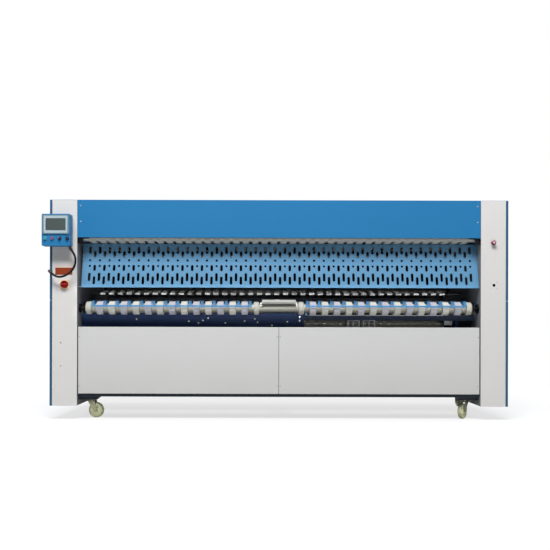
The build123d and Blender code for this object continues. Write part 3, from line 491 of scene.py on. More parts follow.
def woven(name, base, stain=0.25, shade_from=None):
    """Polyester belt woven in one piece and pressed flat: warp threads that run along the belt, drawn
    three millimetres apart so that they show, loose fibres, grime where linen has rubbed and, behind a given depth,
    painted shade."""
    made, tree, shader, place = begin(name, Roughness=0.82, Sheen_Weight=0.25, Sheen_Roughness=0.5)
    across = node(tree, "SeparateXYZ", {"Vector": place}, "X")
    threads = node(tree, "Math", {0: across, 1: math.tau * 1000 / size("weave")}, "Value", operation="MULTIPLY")
    warp = node(tree, "Math", {0: threads}, "Value", operation="SINE")
    weft = node(tree, "TexNoise", {"Vector": place, "Scale": 420.0, "Detail": 3.0}, "Fac")
    grime = node(tree, "TexNoise", {"Vector": place, "Scale": 14.0, "Detail": 5.0}, "Fac")
    tone = blend(tree, weft, shaded(base, 0.88), shaded(base, 1.1))
    dirty = node(tree, "MapRange", {"Value": grime, "From Min": 0.45, "From Max": 0.75, "To Max": stain}, "Result")
    tone = blend(tree, dirty, tone, shaded(base, 0.62))
    # Behind the given depth the belt is painted nearly black: painted shade for the dark inside behind the noses
    if shade_from is not None:
        back = node(tree, "SeparateXYZ", {"Vector": place}, "Y")
        belt_shade = node(tree, "MapRange", {
            "Value": back, "From Min": shade_from, "From Max": shade_from + 0.012, "To Max": 0.92}, "Result")
        tone = blend(tree, belt_shade, tone, shaded(base, 0.06))
    threading = node(tree, "Math", {0: warp, 1: weft}, "Value", operation="ADD")
    dress(tree, shader, tone, threading, 0.35, 0.0005)
    return made


def moulded(name, base, roughness=0.42, grain=900.0, depth=0.1, drift=0.06, coat=0.0, gloss=0.5):
    """Plastic or rubber from a steel mould: a fine spark-eroded grain, tone that drifts with the flow
    of the melt, and a film of dust and finger grease that changes the gloss."""
    made, tree, shader, place = begin(
        name, Roughness=roughness, IOR=1.5, Specular_IOR_Level=gloss, Coat_Weight=coat, Coat_Roughness=0.12)
    flow = node(tree, "TexNoise", {"Vector": place, "Scale": 18.0, "Detail": 4.0}, "Fac")
    fine = node(tree, "TexNoise", {"Vector": place, "Scale": grain, "Detail": 2.0}, "Fac")
    tone = blend(tree, flow, shaded(base, 1 - drift), shaded(base, 1 + drift))
    dress(tree, shader, tone, fine, depth, 0.0003, flow, roughness - 0.08, roughness + 0.1)
    return made


def display(name, base):
    """Screen behind matt hardened glass, switched off: a grey that is greener to one side, an etched
    surface that softens the reflection, and faint wipe marks."""
    made, tree, shader, place = begin(name, Roughness=0.22, IOR=1.5, Specular_IOR_Level=0.35)
    side = node(tree, "SeparateXYZ", {"Vector": place}, "X")
    low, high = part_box("screen_glass")
    across = node(tree, "MapRange", {"Value": side, "From Min": low.x, "From Max": high.x}, "Result")
    wipe = node(tree, "TexNoise", {"Vector": place, "Scale": 30.0, "Detail": 3.0}, "Fac")
    tone = blend(tree, across, base, (*rgb("#3f554d"), 1))
    tone = blend(tree, wipe, tone, shaded(base, 1.12))
    dress(tree, shader, tone, cloud=wipe, low=0.16, high=0.3)
    return made


# Every look by its recipe and name: its colour, as a setting's name or in hex, and what sets it apart
LOOKS = {
    powder_coat: {
        "blue_powder_coated_steel": ("blue", dict(roughness=0.42)),
        "white_powder_coated_steel": ("column", dict(roughness=0.46, drift=0.02, rub=0.2)),
        "low_white_powder_coated_steel": (
            "white", dict(roughness=0.48, drift=0.025, rub=0.2, dust=0.25, low=0.2, high=0.6)),
        # Painted shade: light grey inner walls drawn mid-dark grey for the shade inside the machine
        "inner_grey_painted_steel": ("#7d8085", dict(roughness=0.55, gloss=0.2)),
        # Painted shade on the side covers' front edges, which are the same blue paint
        "edge_blue_powder_coated_steel": ("edge_blue", dict(roughness=0.45)),
        # Painted shade: near-black stands for the shade inside the machine, on the back cover's inside and on a sheet
        # in the lower right opening
        "inner_dark_painted_steel": ("#10141b", dict(roughness=0.6, gloss=0.12, rub=0.2)),
        "sky_powder_coated_steel": ("sky", dict(roughness=0.38, drift=0.05)),
        # Painted shade: light blue finger strips drawn darker
        "strip_blue_powder_coated_steel": ("strip", dict(roughness=0.4)),
        "navy_painted_steel": ("navy", dict(roughness=0.5, gloss=0.15, drift=0.12, rub=0.2)),
        "dark_navy_painted_steel": ("#1c2a40", dict(roughness=0.55, gloss=0.15, rub=0.2)),
        "rail_painted_steel": ("rail", dict(roughness=0.5, gloss=0.15, dust=0.15, low=0.15, high=0.3)),
        "pale_painted_steel": ("#bfbfbb", dict(roughness=0.4)),
        "cream_printed_aluminium": ("#ead9b8", dict(roughness=0.45)),
        "motor_enamelled_iron": ("#4b5f73", dict(roughness=0.35, drift=0.12)),
    },
    turned_steel: {
        "turned_roller_steel": ("#b4b5b1", dict()),
        # The journal sets where painted shade darkens the roller's ends
        "dulled_roller_steel": ("#a5a59c", dict(roughness=0.55, journal=1.5605)),
        "dark_roller_steel": ("#3c3f44", dict(roughness=0.5)),
    },
    plated: {
        "zinc_plated_steel": ("#b5b6b2", dict(roughness=0.35)),
        "dulled_zinc_steel": ("#84888c", dict(roughness=0.5)),
        "olive_plated_steel": ("#a3a28a", dict(roughness=0.5)),
        "chrome_plated_steel": ("#cfd1d3", dict(roughness=0.18, spangle=60.0)),
        "blackened_steel": ("#202226", dict(roughness=0.45)),
    },
    woven: {
        "grey_woven_polyester": ("grey_belt", dict()),
        "cream_woven_polyester": ("cream_belt", dict()),
        "beige_woven_polyester": ("beige_belt", dict(stain=0.4)),
        # Fold belts: white at the noses, painted shade behind them
        "white_woven_polyester": ("#f0f0ee", dict(stain=0.1, shade_from=-0.009)),
    },
    moulded: {
        "cream_moulded_nylon": ("#aaaaa1", dict(roughness=0.55, gloss=0.3)),
        "grey_moulded_nylon": ("#9a9ba2", dict(roughness=0.5)),
        "olive_cast_nylon": ("tread", dict(roughness=0.5, drift=0.12, depth=0.25)),
        "cream_cast_nylon": ("wheel", dict(roughness=0.5, drift=0.1, depth=0.25)),
        "dark_grey_moulded_abs": ("#7f8187", dict(roughness=0.45)),
        "light_grey_moulded_abs": ("#a9bcc5", dict(roughness=0.4)),
        "slate_moulded_abs": ("#587a8c", dict(roughness=0.45)),
        "teal_moulded_nylon": ("#5fb4c4", dict(roughness=0.4)),
        "mauve_moulded_nylon": ("#6f6f9c", dict(roughness=0.4)),
        "blue_black_moulded_nylon": ("#0c1a34", dict(roughness=0.4)),
        "green_moulded_cap": ("#3d8f9c", dict(roughness=0.3, coat=0.2)),
        "red_moulded_cap": ("#7d4a70", dict(roughness=0.3, coat=0.2)),
        "scarlet_moulded_knob": ("#9a0808", dict(roughness=0.5, gloss=0.2)),
        # Painted highlight along the isolator's grip
        "rose_printed_line": ("#c05a58", dict(roughness=0.5)),
        "crimson_moulded_head": ("#7a2545", dict(roughness=0.34, coat=0.2)),
        # Painted highlight at the middle of the stop button's head
        "pink_printed_centre": ("#dfc3cb", dict(roughness=0.45)),
        "maroon_moulded_lens": ("#232148", dict(roughness=0.25, coat=0.4)),
        "black_moulded_nylon": ("#17191b", dict(roughness=0.4)),
        "matt_black_moulded_nylon": ("#08090a", dict(roughness=0.7, gloss=0.1)),
        "white_printed_line": ("#e8e8e6", dict(roughness=0.5)),
        "orange_printed_film": ("#8f3a1a", dict(roughness=0.5, drift=0.1, gloss=0.2)),
        "pale_printed_film": ("#e2cfc6", dict(roughness=0.45)),
        "neoprene_rubber": ("#1c1d1f", dict(roughness=0.65, grain=500.0)),
        "black_extruded_pvc": ("#0a0a0b", dict(roughness=0.5, grain=400.0, gloss=0.2)),
    },
    display: {
        "dark_screen_glass": ("#434a4c", dict()),
    },
}


def material(name):
    """The material of that name, made at its first use."""
    found = bpy.data.materials.get(name)
    if found:
        return found
    recipe, looks = next(item for item in LOOKS.items() if name in item[1])
    paint, settings = looks[name]
    return recipe(name, (*rgb(paint), 1.0) if paint.startswith("#") else colour(paint), **settings)


CARRIED_OVER = {
    "base_rails": "rail_painted_steel",
    # End frames and the electrical box take the mid-dark grey of painted shade
    "end_frames": "inner_grey_painted_steel",
    "guide_plate": "sky_powder_coated_steel",
    "belt_nose_bars": "dark_roller_steel",
    "top_roller": "turned_roller_steel",
    "fold_roller": "turned_roller_steel",
    "front_roller_tube": "dulled_roller_steel",
    "delivery_roller": "turned_roller_steel",
    "roller_bearings": "blackened_steel",
    "drive_belts": "neoprene_rubber",
    "drive_motors": "motor_enamelled_iron",
    "cross_beams": "dark_navy_painted_steel",
    "air_pipe": "zinc_plated_steel",
    "electrical_box": "inner_grey_painted_steel",
    "console_bracket": "zinc_plated_steel",
    "knife_cylinder": "zinc_plated_steel",
    "fold_knife": "chrome_plated_steel",
}


class FolderPiece:
    """What the operators share."""

    bl_options = {"REGISTER", "UNDO"}


class FOLDER_OT_carried_over(FolderPiece, Operator):
    """Give the frame's own nodes their materials where their shape is already right"""

    bl_idname = "folder.carried_over"
    bl_label = "Frame nodes"

    def execute(self, context):
        for name, look in CARRIED_OVER.items():
            for slot in NODES[name].material_slots:
                slot.material = material(look)
        return {"FINISHED"}


class FOLDER_OT_columns(FolderPiece, Operator):
    """White front covers of the two end cabinets, with the holes of their controls"""

    bl_idname = "folder.columns"
    bl_label = "Columns"

    def execute(self, context):
        wide, high = COLUMN_OUT - INNER, TOP - SHEET - BOTTOM
        middle, centre = (COLUMN_OUT + INNER) / 2, (TOP - SHEET + BOTTOM) / 2
        holes = {"left": (-1, [(7, *ISOLATOR)]), "right": (1, [(12, *STOP), (11.5, *SOCKET)])}
        for name, (side, cuts) in holes.items():
            loops = [ring(radius, x - side * middle, z - centre) for radius, x, z in cuts]
            face = cut_sheet(rectangle(wide, high, 0.8, 2), SHEET, facing_front(side * middle, SHEET, centre), loops)
            edge = solid((side * (COLUMN_OUT - SHEET), SHEET, BOTTOM), (side * COLUMN_OUT, 25, TOP - SHEET))
            finish(f"{name}_column", join(face, edge), "white_powder_coated_steel",
                   f"{name}_column_cover")
        return {"FINISHED"}


class FOLDER_OT_side_covers(FolderPiece, Operator):
    """Blue folded trays that close the outer side of each cabinet"""

    bl_idname = "folder.side_covers"
    bl_label = "Side covers"

    def execute(self, context):
        for name, side in (("left", -1), ("right", 1)):
            covers = join(*[tray((side * COLUMN_OUT, 0, low), (side * HALF, DEPTH, high), (-side, 0, 0))
                            for low, high in ((BOTTOM, SEAM - 1), (SEAM + 1, TOP))])
            covers.normal_update()
            for face in covers.faces:
                # Front faces at the front plane take the darker blue: painted shade on the covers' narrow edges
                face.material_index = int(face.normal.y < -0.8 and face.calc_center_median().y < SHEET)
            finish(f"{name}_side_covers", covers, ["blue_powder_coated_steel", "edge_blue_powder_coated_steel"],
                   "side_covers")
        return {"FINISHED"}


class FOLDER_OT_top_covers(FolderPiece, Operator):
    """Blue cover over the top roller and the three roof sheets"""

    bl_idname = "folder.top_covers"
    bl_label = "Top covers"

    def execute(self, context):
        low, lip, wide = COVER_LOW, 14, INNER - 2
        fold = [(0, TOP), (0, low), (lip, low), (lip, low + SHEET), (SHEET, low + SHEET), (SHEET, TOP)]
        cover = soften(cut_sheet(fold, 2 * wide, seen_from_right(-wide)), 0.8, 2)
        finish("top_cover", cover, "blue_powder_coated_steel", "top_front_cover")
        roof = [solid((1 - INNER, SHEET, TOP - SHEET), (INNER - 1, DEPTH - SHEET, TOP))]
        for side in (-1, 1):
            roof.append(solid((side * (INNER + 1), 0, TOP - SHEET), (side * (COLUMN_OUT - 0.5), DEPTH, TOP)))
        finish("roof", join(*roof), "blue_powder_coated_steel", "roof_panels")
        return {"FINISHED"}


class FOLDER_OT_panels(FolderPiece, Operator):
    """White front panels and the covers at the back"""

    bl_idname = "folder.panels"
    bl_label = "Panels"

    def execute(self, context):
        front = tray((1.5, 12, PANEL_LOW), (INNER - 6, 24, PANEL_HIGH), BACK)
        finish("front_panels_pair", mirrored(front), "low_white_powder_coated_steel", "front_panels")
        upper = tray((2 - INNER, DEPTH - 25, OPENING_HIGH), (INNER - 2, DEPTH, TOP - SHEET - 1), FORWARD)
        upper.normal_update()
        # Faces that do not face back take near-black: painted shade inside the machine
        for face in upper.faces:
            face.material_index = int(face.normal.y < 0.5)
        finish("rear_upper", upper, ["blue_powder_coated_steel", "inner_dark_painted_steel"],
               "rear_upper_cover")
        lower = tray((2, DEPTH - 25, REAR_LOW), (INNER - 4, DEPTH, REAR_HIGH), FORWARD)
        strip = solid((INNER + 1, DEPTH - SHEET, BOTTOM), (COLUMN_OUT - 0.5, DEPTH, TOP - SHEET - 1))
        finish("rear_lower", mirrored(join(lower, strip)), "low_white_powder_coated_steel",
               "rear_panels")
        return {"FINISHED"}


# Rows of belts as the two axes with their radii and the belts' width, then each belt's X with the
# number of its look, the looks and the node that the row stands for
BELT_ROWS = {
    "top_belt_row": (
        (TOP_AXIS, 28 + BELT_GAP, TOP_NOSE, 28 + BELT_GAP, 50),
        [(x, 0) for x in spread(40, 76.9)], ["cream_woven_polyester"], "top_belts"),
    "fold_belt_row": (
        (FOLD_AXIS, 30 + BELT_GAP, FOLD_NOSE, 6.1, 44),
        [(x - 44, 0) for x in spread(40, 76.3)], ["white_woven_polyester"], "fold_belts"),
    "front_belt_row": (
        (FRONT_AXIS, 50 + BELT_GAP, FRONT_NOSE, 11.1, 50),
        [(side * (FRONT_FIRST + FRONT_PITCH * n), n % 2) for n in range(FRONT_COUNT) for side in (-1, 1)],
        ["grey_woven_polyester", "cream_woven_polyester"], "front_belts"),
    "delivery_belt_row": (
        (DELIVERY_AXIS, 34 + BELT_GAP, DELIVERY_NOSE, 34 + BELT_GAP, 52),
        [(221 + 68.3 * n, 0) for n in range(17)], ["beige_woven_polyester"], "delivery_belts"),
}


class FOLDER_OT_belts(FolderPiece, Operator):
    """Woven flat belts in four rows"""

    bl_idname = "folder.belts"
    bl_label = "Belts"

    def execute(self, context):
        for name, (run, places, looks, stands_for) in BELT_ROWS.items():
            one = belt(*run)
            row = [tint(moved(one.copy(), (x, 0, 0)), number) for x, number in places]
            one.free()
            finish(name, join(*row), looks, stands_for)
        return {"FINISHED"}


def rounded_rim(half, rim, rounding):
    """Quarter round from a wheel's side to its rim."""
    return [(half - rounding * (1 - math.cos(turn)), rim - rounding * (1 - math.sin(turn)))
            for turn in (math.radians(15 * n) for n in range(7))]


def both_sides(right):
    """Profile of a wheel from its right half."""
    return right + [(-along, radius) for along, radius in reversed(right)]


def roller_wheel(wide, rim, rounding):
    """Moulded wheel on the front roller's tube, with rounded rims."""
    half, bore = wide / 2, 38.05
    profile = both_sides([(half - 0.6, bore), (half, bore + 0.6)] + rounded_rim(half, rim, rounding))
    return turned((0, *FRONT_AXIS), (1, 0, 0), profile, 48, closed=True)


class FOLDER_OT_front_wheels(FolderPiece, Operator):
    """Belt pulleys of the front roller and its four wide rounded wheels"""

    bl_idname = "folder.front_wheels"
    bl_label = "Front roller wheels"

    def execute(self, context):
        pulleys = copies(roller_wheel(54, 50, 3), [(FRONT_FIRST + FRONT_PITCH * n, 0, 0) for n in range(FRONT_COUNT)])
        ends = moved(roller_wheel(46, 52, 9), (1538, 0, 0))
        middle = moved(roller_wheel(44, 52, 8), (181, 0, 0))
        shape = join(tint(pulleys, 0), tint(ends, 1), tint(middle, 1))
        finish("front_wheels", mirrored(shape), ["grey_moulded_nylon", "cream_moulded_nylon"],
               "front_roller_wheels", body="front_roller")
        return {"FINISHED"}


def finger(x, reach):
    """Finger that rises from the strip and lies back between two belts."""
    front, top = 9, 958
    fold = [(front, 916), (front, top), (reach, top), (reach, top - 3), (front + 3, top - 3), (front + 3, 916)]
    return soften(cut_sheet(fold, 20, seen_from_right(x - 10)), 0.7)


class FOLDER_OT_combs(FolderPiece, Operator):
    """Light blue finger strips and the pale box in front of the bare middle of the roller"""

    bl_idname = "folder.combs"
    bl_label = "Finger strips"

    def execute(self, context):
        strip = solid((214, 9, 908), (1505, 12, 922))
        fingers = [finger(FRONT_FIRST + FRONT_PITCH * (n + 0.5), 60) for n in range(FRONT_COUNT - 1)]
        for x in (230, 1494):
            fingers += [finger(x, 170), solid((x - 10, 167, 845), (x + 10, 170, 958))]
        shape = join(strip, *fingers)
        # The strips take the darker strip blue, painted shade of their light blue paint
        finish("finger_strips", mirrored(shape), "strip_blue_powder_coated_steel", "comb_guides")
        box = solid((-136, 2, 934), (136, 40, 966), 3, 3)
        slot = solid((-128, 0.5, 940), (128, 4, 944), 0.5)
        arms = []
        for x in (-142, 142):
            arms.append(solid((x - 6, 9, 916), (x + 6, 30, 948)))
            arms.append(solid((x - 6, 25, 940), (x + 6, 166, 948)))
            arms.append(solid((x - 6, 156, 845), (x + 6, 166, 946)))
        finish("nozzle_box", join(box, tint(slot, 1), *[tint(arm, 2) for arm in arms]),
               ["pale_painted_steel", "blackened_steel", "zinc_plated_steel"], "centre_nozzle_box")
        return {"FINISHED"}


# Bolts of the navy panel as (x, z)
BOLTS = [(-1171, 810), (-739, 794), (-660, 779), (-623, 801), (-581, 820), (-438, 780), (-279, 796),
         (-194, 814), (-172, 786), (-53, 760), (74, 791), (174, 801), (174, 832)]


def hexagon_bolt(x, y, z, radius=6, height=4, way=FORWARD):
    """Bolt head on its washer, standing off a wall."""
    foot, way = Vector((x, y, z)), Vector(way)
    washer = bar(foot, foot + way, radius * 1.2, 0.3, 20)
    return join(washer, bar(foot + way * 0.8, foot + way * height, radius, 0.6, 6))


class FOLDER_OT_inner_panel(FolderPiece, Operator):
    """Navy panels behind the front roller, with their bolts"""

    bl_idname = "folder.inner_panel"
    bl_label = "Inner panel"

    def execute(self, context):
        low, high, end = 690, 860, 212
        wide = solid((-INNER, 150, low), (end, 153, high), 1.2)
        lip = solid((-INNER, 152, high - 4), (end, 155, high), 1.0)
        # Near-black sheet at the right end of the opening: painted shade, a sheet put where the recess is dark
        short = tint(solid((1390, 240, low), (INNER, 243, 803), 1.0), 2)
        bolts = [tint(hexagon_bolt(x, 150, z, 5), 1) for x, z in BOLTS]
        finish("navy_panels", join(wide, lip, short, *bolts),
               ["navy_painted_steel", "zinc_plated_steel", "inner_dark_painted_steel"],
               "inner_front_panel")
        return {"FINISHED"}


class FOLDER_OT_delivery_hardware(FolderPiece, Operator):
    """Bright brackets, clamp and post in the lower right opening"""

    bl_idname = "folder.delivery_hardware"
    bl_label = "Delivery hardware"

    def execute(self, context):
        parts = []
        for x in (620, 750):
            rim, hole = rectangle(104, 55, 4, 3), rectangle(84, 45, 3, 3)
            parts.append(cut_sheet(rim, 6, facing_front(x, 166, 775.5), [hole]))
            parts.append(bar((x, 161, 775), (x, 166, 775), 9, 1, 20))
            parts.append(solid((x - 3, 162, 750), (x + 3, 165, 801), 0.8))
        parts.append(solid((1370, 160, 765), (1436, 185, 803), 3, 3))
        parts.append(turned((1428, 160, 792), FORWARD, [(0, 0), (0, 10), (7, 10), (10, 7), (10, 0)], 24))
        parts.append(tint(solid((1464, 160, 244), (1484, 180, 803), 1.5), 1))
        finish("delivery_fittings", join(*parts), ["dulled_zinc_steel", "navy_painted_steel"],
               "delivery_brackets")
        return {"FINISHED"}


# Controls of the console by their distance from its middle
CONTROLS = {"green": -86, "red": -29, "selector": 30, "buzzer": 90}


class FOLDER_OT_console(FolderPiece, Operator):
    """Console shell, screen frame, display and collars"""

    bl_idname = "folder.console"
    bl_label = "Console"

    def execute(self, context):
        centre = CONSOLE_LOW + CONSOLE_HIGH / 2
        outline = rectangle(CONSOLE_WIDE, CONSOLE_HIGH, 8)
        inside = rectangle(CONSOLE_WIDE - 4, CONSOLE_HIGH - 4, 6)
        holes = [ring(COLLAR_BORE, x, CONTROL_Z - centre) for x in CONTROLS.values()]
        holes.append([(across, up + SCREEN_Z - centre) for across, up in rectangle(192, 130)])
        face = cut_sheet(outline, 2, facing_front(CONSOLE_X, CONSOLE_FACE + 2, centre), holes)
        self.round_rim(face)
        walls = cut_sheet(outline, CONSOLE_BACK - CONSOLE_FACE - 2,
                          facing_front(CONSOLE_X, CONSOLE_BACK, centre), [inside])
        finish("console_shell", join(face, walls), "blue_powder_coated_steel", "console_box")
        self.screen()
        self.collars()
        return {"FINISHED"}

    def round_rim(self, face):
        """Round the front edge of the console's outline and leave its holes sharp."""
        face.normal_update()
        rim = [edge for edge in face.edges if edge.calc_face_angle() > 1
               and all(vert.co.y < CONSOLE_FACE + 0.01 and self.on_rim(vert.co) for vert in edge.verts)]
        bmesh.ops.bevel(face, geom=rim, offset=1.2, offset_type="OFFSET", segments=2, profile=0.5,
                        affect="EDGES", material=-1)

    def on_rim(self, point):
        across = abs(point.x - CONSOLE_X) > CONSOLE_WIDE / 2 - 8.01
        up = abs(point.z - CONSOLE_LOW - CONSOLE_HIGH / 2) > CONSOLE_HIGH / 2 - 8.01
        return across or up

    def screen(self):
        """Dark frame, a paler one in it, and the display a little behind them."""
        front = CONSOLE_FACE - 7
        place = facing_front(CONSOLE_X, CONSOLE_FACE, SCREEN_Z)
        panel, window = rectangle(189, 137, 4), rectangle(158, 96, 1.5)
        frame_rim = soften(cut_sheet(rectangle(217, 152, 5), 7, place, [panel]), 0.8, 2, 50)
        pale = tint(soften(cut_sheet(rectangle(188.4, 136.4, 4), 7.4, place, [window]), 0.5, 1, 50), 1)
        body = solid((CONSOLE_X - 94, CONSOLE_FACE + 0.5, SCREEN_Z - 63),
                     (CONSOLE_X + 94, CONSOLE_FACE + 35, SCREEN_Z + 63))
        finish("screen_frame", join(frame_rim, pale, body),
               ["slate_moulded_abs", "light_grey_moulded_abs"], "screen_bezel")
        glass = solid((CONSOLE_X - 78.9, front + 0.7, SCREEN_Z - 47.9),
                      (CONSOLE_X + 78.9, CONSOLE_FACE - 1, SCREEN_Z + 47.9), 0.4, 1)
        finish("display", glass, "dark_screen_glass", "screen_glass")

    def collars(self):
        """Stepped collar round each control, in a cast of its own button's colour."""
        profile = [(0, COLLAR_BORE), (0, 15), (2.5, 15), (4.2, 14.4), (6, 13.6), (6, 12.4), (5.2, COLLAR_BORE)]
        parts = []
        for name, x in CONTROLS.items():
            collar = turned((CONSOLE_X + x, CONSOLE_FACE, CONTROL_Z), FORWARD, profile, closed=True)
            parts.append(tint(collar, {"green": 0, "red": 1}.get(name, 2)))
        finish("control_collars", join(*parts),
               ["teal_moulded_nylon", "mauve_moulded_nylon", "blue_black_moulded_nylon"],
               "button_collars")


class FOLDER_OT_controls(FolderPiece, Operator):
    """Push buttons, selector and buzzer of the console"""

    bl_idname = "folder.controls"
    bl_label = "Console controls"

    def execute(self, context):
        dome = [(-18, 0), (-18, 11.7), (10.6, 11.7), (11.7, 11.0), (12, 9.8), (11.4, 8.4), (11.2, 4), (11.2, 0)]
        for name, look in (("green", "green_moulded_cap"), ("red", "red_moulded_cap")):
            cap = turned(self.foot(name), FORWARD, dome)
            finish(f"{name}_cap", cap, look, f"{name}_button", body=f"{name}_button")
        self.selector()
        self.buzzer()
        return {"FINISHED"}

    def foot(self, name):
        return Vector((CONSOLE_X + CONTROLS[name], CONSOLE_FACE, CONTROL_Z))

    def selector(self):
        """Black dial with a waisted grip across it and a white line to its top."""
        foot = self.foot("selector")
        dial = turned(foot, FORWARD, [(-18, 0), (-18, 11.7), (7, 11.7), (8, 11), (8, 0)])
        place = facing_front(foot.x, CONSOLE_FACE - 7.5, CONTROL_Z)
        outline = [(-3.6, -11), (3.6, -11), (2.8, 0), (3.6, 11), (-3.6, 11), (-2.8, 0)]
        grip = soften(cut_sheet(outline, 12.4, place), 1.2, 3)
        line = solid((foot.x - 0.9, CONSOLE_FACE - 20.2, CONTROL_Z),
                     (foot.x + 0.9, CONSOLE_FACE - 19, CONTROL_Z + 10), 0.2, 1)
        finish("selector_dial", join(dial, grip, tint(line, 1)), ["blue_black_moulded_nylon", "white_printed_line"],
               "selector_knob", body="selector_knob")

    def buzzer(self):
        """Dark ring round a dark red lens with two shallow grooves."""
        foot = self.foot("buzzer")
        ring_profile = [(-25, 0), (-25, 11.7), (12.6, 11.7), (14, 10.6), (14, 9.2), (12.6, 8.6), (12.6, 0)]
        lens = [(12, 0), (12, 8.4), (13.2, 8.2), (13.6, 7), (13.1, 6.6), (13.6, 6.2), (14, 3.4), (13.6, 3),
                (14, 2.6), (14.1, 0)]
        shape = join(turned(foot, FORWARD, ring_profile), tint(turned(foot, FORWARD, lens), 1))
        finish("buzzer_head", shape, ["blue_black_moulded_nylon", "maroon_moulded_lens"], "buzzer")


class FOLDER_OT_switches(FolderPiece, Operator):
    """Main switch, stop button, socket and the bare plate on the columns"""

    bl_idname = "folder.switches"
    bl_label = "Column controls"

    def execute(self, context):
        x, z = ISOLATOR
        hole = ring(6.3)
        plate = cut_sheet(rectangle(76, 76, 4), 3, facing_front(x, 0, z), [hole])
        body = tint(cut_sheet(rectangle(56, 56, 3), 58, facing_front(x, 60, z), [hole]), 1)
        stop_x, stop_z = STOP
        collar = [(0, 12), (0, 17), (3.4, 17), (5, 15.5), (5, 12)]
        rim = tint(turned((stop_x, 0, stop_z), FORWARD, collar, closed=True), 2)
        contacts = [(0, 12), (0, 17), (48, 17), (48, 0), (33, 0), (33, 12)]
        blocks = tint(turned((stop_x, 2, stop_z), BACK, contacts, closed=True), 1)
        finish("switch_plates", join(plate, body, rim, blocks),
               ["cream_printed_aluminium", "dark_grey_moulded_abs", "black_moulded_nylon"],
               "switch_bodies")
        self.isolator(x, z)
        self.stop(stop_x, stop_z)
        self.socket(*SOCKET)
        self.plate()
        return {"FINISHED"}

    def isolator(self, x, z):
        """Red disc with a low grip across it and a paler line along the grip that is a painted highlight."""
        disc = [(-30, 0), (-30, 6), (3.5, 6), (3.5, 28.5), (5, 30), (17, 30), (20.5, 28), (22, 25), (22, 0)]
        knob = turned((x, 0, z), FORWARD, disc, 48)
        outline = [(-23, -7), (23, -7), (24, 0), (23, 7), (-23, 7), (-24, 0)]
        grip = soften(cut_sheet(outline, 8, facing_front(x, -21, z)), 2.2, 3)
        # Paler line along the grip: painted highlight
        line = tint(solid((x - 18, -29.3, z - 1.4), (x + 18, -28, z + 1.4), 0.3, 1), 1)
        finish("main_switch_knob", join(knob, grip, line), ["scarlet_moulded_knob", "rose_printed_line"],
               "isolator_knob", body="isolator_knob")

    def stop(self, x, z):
        """Stem with its pin, and the flat head that turns on it, whose pale centre is a painted highlight."""
        stem = [(-25, 0), (-25, 11.7), (10, 11.7), (10, 5), (19.5, 5), (19.5, 0)]
        finish("stop_button_stem", turned((x, 0, z), FORWARD, stem), "black_moulded_nylon",
               "stop_stem", body="stop_stem")
        head = [(10.5, 5.1), (10.5, 13), (13.5, 13), (13.5, 18.3), (14.2, 19), (20, 19), (23.4, 17.2), (25.4, 13.5),
                (26, 9), (26, 0), (20, 0), (20, 5.1)]
        # Pale disc at the head's middle: painted highlight
        centre = [(25.5, 0), (25.5, 8.4), (26.3, 8), (26.6, 0)]
        shape = join(turned((x, 0, z), FORWARD, head, 48, closed=True), tint(turned((x, 0, z), FORWARD, centre), 1))
        finish("stop_button_head", shape, ["crimson_moulded_head", "pink_printed_centre"],
               "stop_head", body="stop_head")

    def socket(self, x, z):
        """Socket flush with the cover: a bore with a chamfered mouth, closed at its back."""
        profile = [(0, 10.5), (0, 11.4), (2, 11.5), (2, 18), (34, 18), (34, 0), (22, 0), (22, 10.5)]
        contacts = [turned((x + 4.5 * math.cos(turn), 22, z + 4.5 * math.sin(turn)), FORWARD,
                           [(0, 0), (0, 1.1), (9, 1.1), (9.6, 0.5), (9.6, 0)], 12)
                    for turn in (math.radians(90 + 120 * n) for n in range(3))]
        finish("service_socket", join(turned((x, 0, z), BACK, profile, closed=True),
                                      *[tint(contact, 1) for contact in contacts]),
               ["matt_black_moulded_nylon", "chrome_plated_steel"], "panel_socket")

    def plate(self):
        """Bare two-coloured plate on the left column."""
        left, right, low, high = -1795, -1658, 1163, 1242
        split = high - 22
        upper = solid((left, -1, split), (right, 0, high), 0.25, 1)
        lower = tint(solid((left, -1, low), (right, 0, split), 0.25, 1), 1)
        finish("bare_plate", join(upper, lower), ["pale_printed_film", "orange_printed_film"],
               "label_plate")


